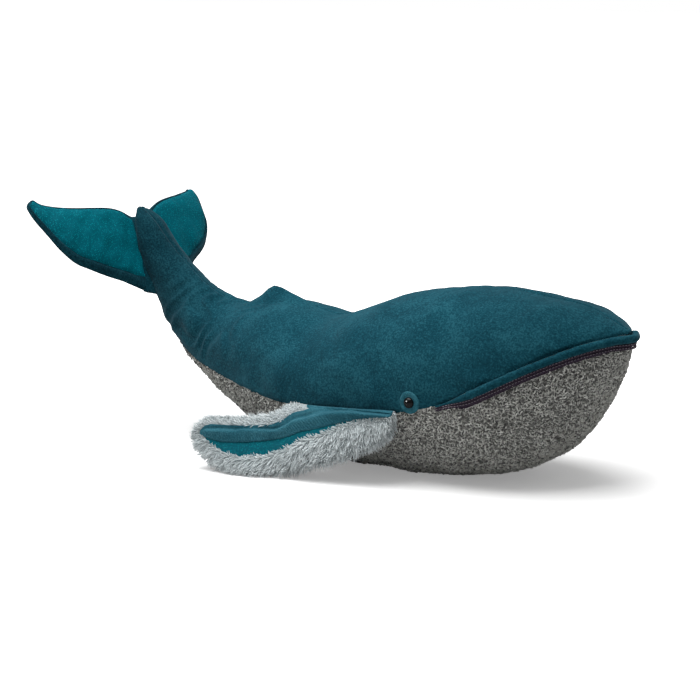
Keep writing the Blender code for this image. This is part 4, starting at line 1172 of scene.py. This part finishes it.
def fin_velour_leaf(label, side):
    """The velour on the fin, wrapped over its root, with its raised and ribbed fold."""
    part, u = fin_part(-1, LEAF_END), np.linspace(0, 1, LEAF_COLUMNS)
    rows, chord = part["rows"][:, None], part["chord"][:, None]
    hem, fold = part["hem"][:, None], part["fold"][:, None]
    ends = smooth_step(rows, 0.0, 0.10) * (1 - smooth_step(rows, 0.84, 0.92))
    columns = hem + (fold - hem) * u
    crest = (part["crest"][:, None] - hem) / (fold - hem)
    foot = 1 - smooth_step(u, 0.93, 1.0)
    before = dip(u - crest, 0.13) * FOLD_HEIGHT - FOLD_VALLEY * dip(u - crest + 0.24, 0.10)
    after = FOLD_HEIGHT * (1 - 0.75 * smooth_step(u, crest, 1.0))
    rise = LEAF_LIFT + np.where(u < crest, before, after) * ends * (1 - 0.9 * smooth_step(u, 0.93, 1.0))
    slant = part["run"][:, None] / RIB_LENGTH + RIB_SLANT * u
    flank = smooth_step(u, crest - 0.02, crest + 0.15) * foot
    rise = rise + RIB_HEIGHT * np.sin(2 * math.pi * slant) * flank * ends
    over = np.clip(-columns * chord / FIN_ROOT_RADIUS, 0, 0.97)
    soft = leaf_at(part, columns, fin_half(part, columns) * np.sqrt(1 - over**2) + rise)
    soft += (0.0006 * lumps(soft, 0.022, 81) * np.sin(math.pi * u))[..., None] * part["normal"][:, None]
    return leaf_cloth("fin_velour_leaf_" + label, part, soft, side, velour_light)


def fin_teal_band(label, side):
    """The shiny band beside the fold, puffed up between its edges."""
    part, v = fin_part(*TEAL_SPAN), np.linspace(0, 1, TEAL_COLUMNS)
    lap = TEAL_LAP / part["chord"][:, None]
    fold, edge = part["fold"][:, None] - lap, part["teal"][:, None] + lap
    columns = fold + (edge - fold) * v
    lumpy = 0.0003 * lumps(leaf_at(part, columns, 0 * columns), 0.012, 83)
    puff = 0.0006 * np.sin(math.pi * v) + lumpy * np.sin(math.pi * v) - 0.0004
    band = leaf_at(part, columns, fin_half(part, columns) + puff)
    return leaf_cloth("fin_teal_band_" + label, part, band, side, shiny_teal)


def sparkling_teal():
    """Woven teal cloth with fine metallic specks that catch the light."""
    material, tree, shader, place = new_finish("sparkling_teal", 0.55)
    slow = noise_node(tree, place, 18, 3, 0.5, 0.5)
    grain = noise_node(tree, place, 1100, 2, 0.6)
    cell = tree.nodes.new("ShaderNodeTexVoronoi")
    cell.inputs["Scale"].default_value = 1250
    join(tree, place, cell.inputs["Vector"])
    split = tree.nodes.new("ShaderNodeSeparateColor")
    join(tree, cell.outputs["Color"], split.inputs[0])
    chosen = maths(tree, "GREATER_THAN", split.outputs[0], 0.81)
    speck = maths(tree, "MULTIPLY", chosen, maths(tree, "LESS_THAN", cell.outputs["Distance"], 0.42))
    shade = weighted(tree, (slow, 0.3), (grain, 0.7))
    weave = ramp(tree, shade, ((0.35, (0.0001, 0.066, 0.090)), (0.65, (0.0006, 0.108, 0.144))))
    mix = tree.nodes.new("ShaderNodeMix")
    mix.data_type = "RGBA"
    join(tree, speck, mix.inputs["Factor"])
    join(tree, weave, mix.inputs["A"])
    mix.inputs["B"].default_value = (0.004, 0.27, 0.32, 1)
    join(tree, mix.outputs["Result"], shader.inputs["Base Color"])
    join(tree, maths(tree, "SUBTRACT", 0.6, maths(tree, "MULTIPLY", speck, 0.3)), shader.inputs["Roughness"])
    join(tree, bumped(tree, grain, 0.5, 0.0004), shader.inputs["Normal"])
    return material


fur_ground = flecked("fur_ground", 0.95, 300, 3, ((0.35, (0.26, 0.30, 0.31)), (0.65, (0.44, 0.49, 0.505))),
                     sheen=0.2, relief=(0.6, 0.001))
velour_light = brushed_cloth(
    "fin_velour", (0.011, 0.072, 0.100), (0.023, 0.107, 0.143), (0.041, 0.155, 0.198), grain=800)
shiny_teal = sparkling_teal()
fin_top, fin_bottom, fin_across = fin_surface()
fin_sets = {label: [make(label, side) for make in (fur_backing, fin_velour_leaf, fin_teal_band)]
            for label, side in SIDES}
print("fin pieces made")

# %% [markdown]
# ## Fur
# Long pile covers the fin's underside and rim. Each strand is a thin bent cone, and the emitter carries
# three values that the tree reads: which way the pile is combed, how long it is and how dense.
# %% Fur strands
STRAND_SPACING, STRAND_WIDTH, STRAND_BEND, STRAND_JITTER, STRAND_SIDES = 0.00115, 0.00048, 0.0018, 0.16, 3
STRAND_RINGS = ((0, 1.0), (0.35, 0.9), (0.7, 0.62))
PILE_ROWS = (0.0, 0.15, 0.45, 0.70, 0.88, 1.0)
PILE_RIM, PILE_BELOW = (0.0070, 0.0080, 0.0118, 0.0120, 0.0085, 0.0060), 0.0070
END_PILE, HEM_TRIM, END_COLUMN = 0.0055, 0.5, 3
PILE_HEM, PILE_LAP, TUFTS = 0.0052, 0.0036, ((0.30, 0.0085, 21), (0.20, 0.0038, 31))


def strand_shape():
    """One strand of unit length along Z, bent towards X, with its height along it kept as an attribute."""
    work = bmesh.new()
    tip_layer = work.verts.layers.float.new("tip")

    def spot(x, y, z):
        vert = work.verts.new((STRAND_BEND * z * z + x, y, z))
        vert[tip_layer] = z
        return vert

    rings = [[spot(STRAND_WIDTH * r * math.cos(a), STRAND_WIDTH * r * math.sin(a), z)
              for a in np.linspace(0, 2 * math.pi, STRAND_SIDES, endpoint=False)] for z, r in STRAND_RINGS]
    return shape_to_repeat("strand_shape", work, rings, spot(0, 0, 1))


def named(tree, name, kind):
    """A stored attribute's socket in a geometry tree."""
    node = geo(tree, "GeometryNodeInputNamedAttribute", {"Name": name}, data_type=kind)
    return [s for s in node.outputs if s.enabled and s.name == "Attribute"][0]


def fur_tree():
    """Strands over a mesh, along its combed direction with some scatter."""
    tree, given = tree_with("fur", (("Scatter", "Float"), *SCATTER_INPUTS))
    points = spread(tree, given, **{"Density Factor": named(tree, "cover", "FLOAT")})
    anywhere = random_value(tree, (-1, -1, -1), (1, 1, 1), 2, "FLOAT_VECTOR")
    toss = geo(tree, "ShaderNodeVectorMath", {0: anywhere}, operation="SCALE")
    tree.links.new(given["Scatter"], toss.inputs["Scale"])
    comb = named(tree, "comb", "FLOAT_VECTOR")
    way = geo(tree, "ShaderNodeVectorMath", {0: comb, 1: toss.outputs[0]}, operation="ADD")
    turn = geo(tree, "FunctionNodeAlignRotationToVector", {"Vector": way.outputs[0]}, axis="Z")
    rotation = turned(tree, turn.outputs[0], (0.0, 0.0, 0.0), (0.0, 0.0, 2 * math.pi), 4)
    long = geo(tree, "ShaderNodeMath", {0: named(tree, "pile", "FLOAT"), 1: random_value(tree, 0.6, 1.15, 6)},
               operation="MULTIPLY")
    size = geo(tree, "ShaderNodeCombineXYZ", {"X": 1.0, "Y": 1.0, "Z": long.outputs[0]})
    return planted(tree, given, points.outputs["Points"], rotation, Scale=size.outputs[0])


def fur_looks():
    """Points, comb, pile and cover of the fin's top and bottom, and the comb of its front end."""
    away = unit(np.gradient((fin["inner"] + fin["outer"]) / 2, axis=0))[:, None]
    out, up = unit(fin["outer"] - fin["inner"])[:, None], fin["normal"][:, None]
    r, reach = fin["rows"][:, None, None], fin_across[..., None]
    lean = -0.50 + 1.10 * smooth_step(r, 0.05, 0.45) + 0.8 * smooth_step(r, 0.8, 1.0)
    past = (fin_across - fin["teal"][:, None])[..., None] * fin["chord"][:, None, None]
    lapping = (1 - smooth_step(past, 0.0015, 0.0055)) * smooth_step(past, -0.003, -0.001)
    outward = (-0.6 + 1.5 * smooth_step(reach, 0.0, 0.3)) * (1 - lapping) - 0.55 * lapping
    under = -0.45 + 1.3 * smooth_step(reach, -0.02, 0.25)
    combs = (outward * out + lean * away + (0.34 + 0.35 * lapping) * up,
             under * out + lean * away - 0.12 * up + np.array([0, 0, -0.25]))
    is_rim = smooth_step(reach, 0.55, 0.9)
    rim_pile = np.interp(fin["rows"], PILE_ROWS, PILE_RIM)[:, None, None]
    trimmed = 1 - HEM_TRIM * (1 - smooth_step(r, 0.42, 0.64)) * (1 - smooth_step(reach, 0.1, 0.3))
    top_pile = (PILE_HEM + (rim_pile - PILE_HEM) * smooth_step(reach, 0.2, 0.6)) * trimmed
    piles = (top_pile * (1 - lapping) + PILE_LAP * lapping,
             (PILE_BELOW + (rim_pile - PILE_BELOW) * is_rim) * trimmed)
    bare = ((reach < 0.12) & (r < 0.40))[..., 0]
    covers = (1.0, (0.5 + 0.5 * is_rim + 0 * r)[..., 0])
    faces = []
    for grid, comb, pile, cover in zip((fin_top, fin_bottom), combs, piles, covers):
        stray = np.stack([layered_lumps(grid, [(height, length, seed + k) for height, length, seed in TUFTS])
                          for k in range(3)], axis=-1)
        faces.append((grid, unit(comb) + stray, (pile + 0 * reach)[..., 0], np.where(bare, 0.0, cover)))
    return faces, -0.55 * away[0, 0] + 0.55 * out[0, 0] + 0.3 * up[0, 0]


def fur_emitter(side):
    """The furred part of a fin's surface, carrying its comb, pile and cover."""
    work = bmesh.new()
    comb_layer = work.verts.layers.float_vector.new("comb")
    pile_layer, cover_layer = work.verts.layers.float.new("pile"), work.verts.layers.float.new("cover")

    def rooted(spot, comb, pile, cover):
        vert = work.verts.new(to_side(spot, side))
        vert[comb_layer] = Vector(to_side(comb, side))
        vert[pile_layer], vert[cover_layer] = float(pile), float(cover)
        return vert

    faces, forward = fur_looks()
    for (grid, comb, pile, cover), under_cloth in zip(faces, (True, False)):
        verts = {}
        for i in range(FIN_ROWS - 1):
            for j in range(fin_across.shape[1] - 1):
                share = (fin_across[i, j] + fin_across[i, j + 1]) / 2
                if under_cloth and fin["hem"][i] < share < fin["teal"][i]:
                    continue
                corners = ((i, j), (i, j + 1), (i + 1, j + 1), (i + 1, j))
                for at in corners:
                    if at not in verts:
                        verts[at] = rooted(grid[at], comb[at], pile[at], cover[at])
                work.faces.new([verts[at] for at in corners])
    pairs = [[rooted(grid[0, j], forward, END_PILE, 1.0) for grid in (fin_top, fin_bottom)]
             for j in range(END_COLUMN, fin_across.shape[1])]
    for a, b in zip(pairs, pairs[1:]):
        work.faces.new((a[0], b[0], b[1], a[1]))
    return link("fur_emitter", work)


fur, tree, shader, place = new_finish("fur_strands", 0.75, 0.3, specular=0.15)
tufts = noise_node(tree, place, 60, 2)
# Strands are darker towards their roots: painted shade deep in the pile; the shade and tufts vary the colour
# at random
root_shade_and_tone = weighted(tree, (stored(tree, "tip"), 0.55), (stored(tree, "shade"), 0.30), (tufts, 0.15))
fur_stops = ((0.05, (0.34, 0.39, 0.405)), (0.45, (0.66, 0.72, 0.735)), (0.95, (0.86, 0.91, 0.92)))
join(tree, ramp(tree, root_shade_and_tone, fur_stops), shader.inputs["Base Color"])
strand_tree, strand = fur_tree(), strand_shape()
fin_furs = {
    label: grown("fin_fur_strands_" + label, fur_emitter(side), strand_tree, {
        "Spacing": STRAND_SPACING, "Scatter": STRAND_JITTER, "Seed": 70 + k, "Shape": strand, "Finish": fur,
    }, FLOOR_CLEAR)
    for k, (label, side) in enumerate(SIDES)}
bpy.data.objects.remove(strand)

# %% [markdown]
# ## The flukes
# A fluke is a velour back with a rolled rim, and a shiny teal face inside the rim. Its root is a roll about
# the hinge line, and the two tips curl opposite ways, as they do on the toy.
# %% Fluke pieces
FLUKE_LEAD, FLUKE_NOTCH = np.array([-0.2617, -0.0300, 0.1573]), np.array([-0.2960, -0.0149, 0.2288])
FLUKE_SIZE = np.array([-0.071, -0.1155, 0.083])
FLUKE_ROOT_RADIUS, FLUKE_SWELL, FLUKE_EDGE = 0.0036, 0.0070, 0.0018
FLUKE_LEADING_SHARES = np.array((
    (0.00, 0.00, 0.00), (0.12, 0.20, 0.12), (0.23, 0.38, 0.22), (0.30, 0.55, 0.32), (0.40, 0.69, 0.42),
    (0.52, 0.80, 0.59), (0.69, 0.86, 0.79), (0.84, 0.90, 0.97), (0.91, 0.89, 1.07),
))
FLUKE_TRAILING_SHARES = np.array((
    (0.00, 0.00, 0.00), (0.03, 0.13, 0.11), (0.07, 0.26, 0.16), (0.13, 0.42, 0.18), (0.19, 0.58, 0.19),
    (0.27, 0.72, 0.20), (0.34, 0.82, 0.21), (0.40, 0.91, 0.23), (0.44, 0.95, 0.27),
))
TIP_CURL_SHARES, TIP_CURL_POWER = {-1: (0.085, 0.068, 0.086), 1: (0.079, 0.068, -0.070)}, 4
FLUKE_ROWS, FLUKE_ROOT_ROWS, FLUKE_COLUMNS, FACE_COLUMNS = 170, 10, 44, 56
FLUKE_RIM, RIM_HEIGHT, RIM_LOWER_SHARE, FACE_SINK = (0.006, 0.885), 0.0008, 0.3, 0.0013
FLUKE_TIP_START, FLUKE_TIP_CLOSE, FLUKE_ROOT_BLEND = 0.955, 0.97, 0.14


def fluke_leaf(side):
    """One fluke's edges, drawn on the right; the two tips curl opposite ways."""
    t = np.linspace(0, 1, FLUKE_ROWS)
    curl = t[:, None] ** TIP_CURL_POWER * np.array(TIP_CURL_SHARES[side]) * FLUKE_SIZE
    leading = resampled(FLUKE_LEAD + FLUKE_LEADING_SHARES * FLUKE_SIZE, FLUKE_ROWS) + curl
    trailing = resampled(FLUKE_NOTCH + FLUKE_TRAILING_SHARES * FLUKE_SIZE, FLUKE_ROWS) + curl
    root = unit(FLUKE_NOTCH - FLUKE_LEAD)
    out = -unit(np.cross(root, unit(np.cross([0.0, 1.0, 0.0], root))))
    share = np.linspace(1, 0, FLUKE_ROOT_ROWS, endpoint=False)[:, None]
    leaf = {
        "inner": np.vstack([trailing[0] - FLUKE_ROOT_RADIUS * share * out, trailing]),
        "outer": np.vstack([leading[0] - FLUKE_ROOT_RADIUS * share * out, leading]),
        "rows": np.r_[np.zeros(FLUKE_ROOT_ROWS), t],
        "roll": np.r_[np.sqrt(1 - share[:, 0] ** 2), np.ones(FLUKE_ROWS)],
    }
    leaf["normal"], leaf["chord"] = leaf_frame(leaf["inner"], leaf["outer"])
    late = np.clip((leaf["rows"] - FLUKE_TIP_START) / (1 - FLUKE_TIP_START), 0, 1)
    keep = np.sqrt(1 - FLUKE_TIP_CLOSE * late**2)[:, None]
    middle = (leaf["inner"] + leaf["outer"]) / 2
    for key in ("inner", "outer"):
        leaf[key] = middle + (leaf[key] - middle) * keep
    leaf["chord"], leaf["late"] = leaf["chord"] * keep[:, 0], keep[:, 0]
    return leaf


def fluke_half(leaf, columns):
    """Half thickness of a fluke: its root's roll, running into the stuffed leaf."""
    swollen = leaf_thickness(columns, leaf["rows"], FLUKE_EDGE, FLUKE_SWELL, FLUKE_EDGE, 0 * columns)
    rolled = FLUKE_ROOT_RADIUS * leaf["roll"][:, None]
    blend = np.clip(leaf["rows"] / FLUKE_ROOT_BLEND, 0, 1)[:, None]
    return (rolled * (1 - blend) + swollen * blend) * leaf["late"][:, None] ** 0.5


def fluke_back(label, side, leaf):
    """The velour back, whose rim rolls round to the front."""
    columns = np.tile(np.linspace(0, 1, FLUKE_COLUMNS), (len(leaf["rows"]), 1))
    half, chord = fluke_half(leaf, columns), leaf["chord"][:, None]
    fade = smooth_step(leaf["rows"], 0.02, 0.12)[:, None]
    start, end = FLUKE_RIM
    rim = RIM_HEIGHT * (smooth_step(columns, end, end + 0.05) * (1 - smooth_step(columns, 0.96, 1.0)))
    inside = smooth_step(columns, start - 0.02, start) * (1 - smooth_step(columns, end, end + 0.015))
    outer_half = half[:, -1:] * np.sqrt(1 - EDGE_STEPS**2)
    inner_half = half[:, :1] * np.sqrt(1 - EDGE_STEPS[::-1] ** 2)
    across = np.hstack([
        -EDGE_STEPS[::-1] * half[:, :1] / chord, columns, 1 + EDGE_STEPS * half[:, -1:] / chord])
    upper = np.hstack([inner_half, half + rim * fade - FACE_SINK * inside * fade, outer_half])
    lower = np.hstack([inner_half, half + RIM_LOWER_SHARE * rim * fade, outer_half])
    top, bottom = leaf_at(leaf, across, upper), leaf_at(leaf, across, -lower)
    lumpy = 0.0007 * lumps(bottom, 0.028, 91) * np.minimum(1, lower / 0.004)
    bottom += lumpy[..., None] * leaf["normal"][:, None]
    rings = np.concatenate([top, bottom[:, -2:0:-1]], axis=1)
    return ringed("fluke_velour_back_" + label, to_side(rings, side), velour)


def fluke_face(label, side, leaf):
    """The shiny teal face inside the rim, pinched at its edges and lumpy between them."""
    v = crowded(FACE_COLUMNS)
    face = {key: value[FLUKE_ROOT_ROWS - 2:-5] for key, value in leaf.items()}
    shares = np.tile(FLUKE_RIM[0] + (FLUKE_RIM[1] - FLUKE_RIM[0]) * v, (len(face["rows"]), 1))
    flat = leaf_at(face, shares, fluke_half(face, shares))
    from_edge = np.minimum(v, 1 - v)[None, :] * face["chord"][:, None] * 0.8
    puff = 0.0009 * (1 - dip(from_edge, 0.006)) - 0.0009 * dip(from_edge, 0.0016)
    puff += 0.0006 * lumps(flat, 0.024, 95 + side) * np.clip(from_edge / 0.006, 0, 1)
    puff += 0.00035 * lumps(flat, 0.009, 97) * np.exp(-from_edge / 0.008)
    grid = flat + (puff + 0.0002)[..., None] * face["normal"][:, None]
    return leaf_cloth("fluke_teal_face_" + label, face, grid, side, shiny_teal)


fluke_leaves = {label: fluke_leaf(side) for label, side in SIDES}
fluke_sets = {label: [make(label, side, fluke_leaves[label]) for make in (fluke_back, fluke_face)]
              for label, side in SIDES}
print("fluke chord", round(float(fluke_leaves["right"]["chord"].max()), 3), "m")

# %% [markdown]
# ## Closing the flukes' roots
# The tail is narrower than the line that the flukes hinge about. A strip of velour closes that gap on
# each side: a flattened roll from just inside the tail's cloth to the hinge line.
# %% Sewn gusset at each fluke's root
GUSSET_ROWS, GUSSET_SIDES, GUSSET_RADIUS, GUSSET_SEAT, GUSSET_LEAST = 40, 20, 0.0033, 0.0016, 0.0008
GUSSET_START, GUSSET_FULL, GUSSET_NARROWS, GUSSET_END = -0.16, -0.02, 0.95, 1.03


def gusset(label, side):
    """A narrow strip of velour that closes the gap from the tail to the fluke's root roll."""
    root = FLUKE_NOTCH - FLUKE_LEAD
    rings = []
    for t in np.linspace(GUSSET_START, GUSSET_END, GUSSET_ROWS):
        hinge = to_side(FLUKE_LEAD + root * t, side)
        near = np.array(back_pieces[label].closest_point_on_mesh(Vector(hinge))[1])
        seat = near + GUSSET_SEAT * unit(near - hinge)
        low = smooth_step(t, GUSSET_START, GUSSET_FULL)
        far = seat + (hinge - seat) * low
        way = unit(far - seat) if np.linalg.norm(far - seat) > GUSSET_LEAST else unit(hinge - near)
        across = unit(np.cross(root, way))
        radius = GUSSET_RADIUS * (0.35 + 0.65 * low) * (1 - 0.5 * smooth_step(t, GUSSET_NARROWS, GUSSET_END))
        rings.append([
            (far if math.cos(a) > 0 else seat) + radius * (math.cos(a) * way + math.sin(a) * across)
            for a in np.linspace(0, 2 * math.pi, GUSSET_SIDES, endpoint=False)])
    return ringed("fluke_gusset_" + label, np.array(rings), velour)


bpy.context.view_layer.update()
gussets = {label: gusset(label, side) for label, side in SIDES}
print("gussets made")

# %% [markdown]
# ## Eyes
# A safety eye is a glossy dome on a shank that passes through a felt ring and the velour into a washer.
# Dome and ring are turned shapes, each a profile spun about the shank and set along the surface's normal.
# %% Eye pieces
EYE_SECTION, EYE_LEVEL_SHARE, EYE_SEGMENTS, DOME_STEPS, DOME_TURN = 15.95, 0.462, 56, 14, 1.5
EYE_RADIUS, EYE_DOME_HEIGHT, RING_RADIUS, RING_THICKNESS, EYE_SEAT = 0.0055, 0.0040, 0.0112, 0.0014, 0.0009
SEAT = EYE_SEAT + RING_THICKNESS
DOME_TURNS = np.linspace(DOME_TURN, 0, DOME_STEPS)[1:]
DOME_PROFILE = [
    (0.0004, SEAT + EYE_DOME_HEIGHT),
    *((EYE_RADIUS * math.cos(a), SEAT + EYE_DOME_HEIGHT * math.sin(a)) for a in DOME_TURNS),
    (EYE_RADIUS * 0.96, SEAT - 0.0006), (0.0020, SEAT - 0.0008), (0.0020, -0.0060), (0.0004, -0.0060)]
RING_PROFILE = [
    (0.0024, -0.0002), (RING_RADIUS - 0.0004, -0.0004), (RING_RADIUS, 0.0008), (RING_RADIUS - 0.0003, 0.0016),
    (RING_RADIUS - 0.0010, 0.0021), (RING_RADIUS * 0.8, SEAT - 0.0001), (RING_RADIUS * 0.6, SEAT - 0.0002),
    (0.0056, SEAT - 0.0005), (0.0024, SEAT - 0.0006)]


def eye_place(side):
    """A placement on the velour with Z along its normal."""
    points, arc, _ = section(EYE_SECTION)
    level = (points[:, 2] - points[0, 2]) / (points[-1, 2] - points[0, 2])
    centre, normal = surface_frame(EYE_SECTION, float(np.interp(EYE_LEVEL_SHARE, level, arc)))
    place = Matrix.Translation(centre) @ Vector(normal).to_track_quat("Z", "Y").to_matrix().to_4x4()
    flip = Matrix.Diagonal((1, -1, 1, 1))
    return place if side < 0 else flip @ place @ flip


def spun(name, profile, finish, place, uneven=0.0, seed=0):
    """A closed turned shape; a little unevenness bends its outline."""
    phases = np.random.default_rng(seed).uniform(0, 2 * math.pi, 4)
    turns = 2 * math.pi * np.arange(EYE_SEGMENTS) / EYE_SEGMENTS
    bulge = 1 + uneven * sum(np.sin((n + 2) * turns + p) / (n + 1) for n, p in enumerate(phases))
    work = bmesh.new()
    rings = [[work.verts.new((r * b * math.cos(a), r * b * math.sin(a), z)) for a, b in zip(turns, bulge)]
             for r, z in profile]
    walls(work, rings + rings[:1])
    bmesh.ops.recalc_face_normals(work, faces=work.faces)
    work.transform(place)
    return link(name, work, finish)


felt = brushed_cloth("eye_felt", (0.010, 0.066, 0.092), (0.022, 0.112, 0.148), (0.045, 0.175, 0.220),
                     patch=120, grain=1500, nap=0.0005)
gloss = flecked("eye_gloss", 0.03, 60, 1, ((0.3, (0.0010, 0.0010, 0.0013)), (0.7, (0.0026, 0.0023, 0.0025))),
                specular=0.20)
eye_sets = {
    label: (spun("eye_dome_" + label, DOME_PROFILE, gloss, eye_place(side)),
            spun("eye_felt_ring_" + label, RING_PROFILE, felt, eye_place(side), 0.022, 7 + side))
    for label, side in SIDES}
print("eye at", [round(c, 4) for c in eye_place(-1).to_translation()])

# %% [markdown]
# ## What stays from the frame
# The stuffing and the eyes' washers are the frame's own solids. They only get a finish, for whoever looks
# inside.
# %% Finishes of the pieces inside
wadding = flecked("stuffing_fibre", 0.95, 90, 6, ((0.35, (0.62, 0.61, 0.58)), (0.65, (0.86, 0.85, 0.82))),
                  sheen=0.2, fineness=0.65, relief=(0.8, 0.002))
washer = flecked("washer_plastic", 0.4, 400, 2, ((0.3, (0.60, 0.60, 0.58)), (0.7, (0.72, 0.72, 0.70))))
for name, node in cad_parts.items():
    finish = wadding if "fill" in name else washer if "washer" in name else None
    if finish:
        for holder in node.material_slots:
            holder.material = finish

# %% [markdown]
# ## Moving with the frame
# Most pieces ride on one of the five bodies, and each hides the solids it dresses. The flukes' cloth is only
# fixed in place; the line across its sewn root that it would bend about is worked out but not used.
# %% Bodies and the solids each piece stands for
BEND_SPAN = (-0.005, 0.005)


def bend_root(label):
    """The bend across a fluke's sewn root: its two bodies and two points on its line."""
    side = dict(SIDES)[label]
    along = unit(FLUKE_NOTCH - FLUKE_LEAD)
    root = (FLUKE_LEAD + FLUKE_NOTCH) / 2
    leaf = fluke_leaves[label]
    out = (leaf["inner"][-1] + leaf["outer"][-1]) / 2 - root
    out = unit(out - (out @ along) * along)
    start, end = (tuple(map(float, to_side(root + reach * out, side))) for reach in BEND_SPAN)
    return {"a": "body", "b": "fluke_" + label, "start": start, "end": end}


def settle(piece, body, nodes=()):
    """Hang a piece on its body, or only fix it in place when given a bend, and hide what it stands for."""
    if isinstance(body, dict):
        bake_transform(piece)
    else:
        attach(piece, body)
    if nodes:
        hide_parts(*nodes)


for label, _ in SIDES:
    settle(back_pieces[label], "body", ["back_panel_" + label])
    dome, ring = eye_sets[label]
    settle(dome, "body", ["eye_" + label])
    settle(ring, "body", ["eye_ring_" + label])
    backing, leaf, teal = fin_sets[label]
    settle(backing, "fin_" + label, ["fin_fur_" + label])
    settle(fin_furs[label], "fin_" + label)
    settle(leaf, "fin_" + label, ["fin_velour_" + label])
    settle(teal, "fin_" + label, ["fin_teal_" + label])
    settle(gussets[label], "body")
    back, face = fluke_sets[label]
    settle(back, bend_root(label), ["fluke_velour_" + label])
    settle(face, bend_root(label), ["fluke_teal_" + label])
settle(belly_base, "body", ["belly_panel"])
for curls in belly_loops:
    settle(curls, "body")
settle(piping, "body", ["lip_piping"])
for order in ("upper", "lower"):
    settle(tapes[order], "body", ["mouth_trim_" + order])
    settle(stitch_rows[order], "body")
settle(mouth_backing, "body")
for strip in seam_strips:
    settle(strip, "body")

# %% [markdown]
# ## Floor, light and camera
# A pale floor, an even white sky and one wide lamp light the whale about as a light tent does. The sky is
# brighter for the camera alone, so the background stays white without washing out the cloth. The floor is
# dimmer for all but the camera, so that it throws less light on the belly, and it glows further out.
# %% Studio
SKY_LIGHT, FLOOR_BOUNCE, FLOOR_SIZE = 0.32, 0.62, 12.0
FLOOR_GLOW, GLOW_FROM, GLOW_TO = 0.27, 0.38, 0.80
# name, place, size, watts, and whether it lights more than reflections
LAMPS = (
    ("wide_lamp", (-0.15, -0.30, 1.9), 2.0, 60.0, True),
    ("glint_lamp", (-0.59, -0.99, 0.45), 0.34, 20.0, False),
)
LAMP_AIM = Vector((0, 0, 0.08))
CAMERA_TURN, CAMERA_TILT, CAMERA_REACH, LENS, SENSOR = math.radians(35), math.radians(10), 2.5, 122.91, 36
CAMERA_AIM = Vector((-0.010, 0, 0.1095))


def for_camera(tree, others):
    """The camera's own view as 1 or 0, and a value that is 1 there and smaller for all other light."""
    seen = tree.nodes.new("ShaderNodeLightPath").outputs["Is Camera Ray"]
    return seen, maths(tree, "ADD", maths(tree, "MULTIPLY", seen, 1 - others), others)


world = bpy.data.worlds.new("light_tent")
bpy.context.scene.world = world
world.use_nodes = True
tree = world.node_tree
sky = tree.nodes["Background"]
sky.inputs["Color"].default_value = (1, 1, 1, 1)
join(tree, for_camera(tree, SKY_LIGHT)[1], sky.inputs["Strength"])

paper, tree, shader, place = new_finish("paper_floor", 0.9, specular=0.0)
paleness = ramp(tree, noise_node(tree, place, 3, 2), ((0.3, (0.88, 0.88, 0.88)), (0.7, (0.90, 0.90, 0.90))))
seen, given = for_camera(tree, FLOOR_BOUNCE)
join(tree, scaled(tree, paleness, given), shader.inputs["Base Color"])
distance = tree.nodes.new("ShaderNodeVectorMath")
distance.operation = "LENGTH"
join(tree, place, distance.inputs[0])
glow = faded(tree, distance.outputs["Value"], GLOW_FROM, GLOW_TO, FLOOR_GLOW, 1.0)
shader.inputs["Emission Color"].default_value = (1, 1, 1, 1)
join(tree, maths(tree, "MULTIPLY", seen, glow), shader.inputs["Emission Strength"])
work = bmesh.new()
bmesh.ops.create_grid(work, x_segments=1, y_segments=1, size=FLOOR_SIZE)
floor = link("studio_floor", work, paper, smooth=False)


def look(item, spot, aim):
    """Put a lamp or a camera at a spot and turn it towards an aim."""
    item.location = spot
    item.rotation_euler = (aim - Vector(spot)).to_track_quat("-Z", "Y").to_euler()


for name, spot, size, watts, lights_cloth in LAMPS:
    light = bpy.data.lights.new(name, "AREA")
    light.shape, light.size, light.energy = "SQUARE", size, watts
    lamp = put(name, light)
    look(lamp, spot, LAMP_AIM)
    lamp.visible_diffuse, lamp.visible_camera = lights_cloth, False

camera_data = bpy.data.cameras.new("camera")
camera_data.lens, camera_data.sensor_width = LENS, SENSOR
camera = put("camera", camera_data)
level = math.cos(CAMERA_TILT)
back_way = Vector((math.sin(CAMERA_TURN) * level, -math.cos(CAMERA_TURN) * level, math.sin(CAMERA_TILT)))
look(camera, CAMERA_AIM + CAMERA_REACH * back_way, CAMERA_AIM)
bpy.context.scene.camera = camera
bpy.context.scene.view_settings.view_transform = "Standard"
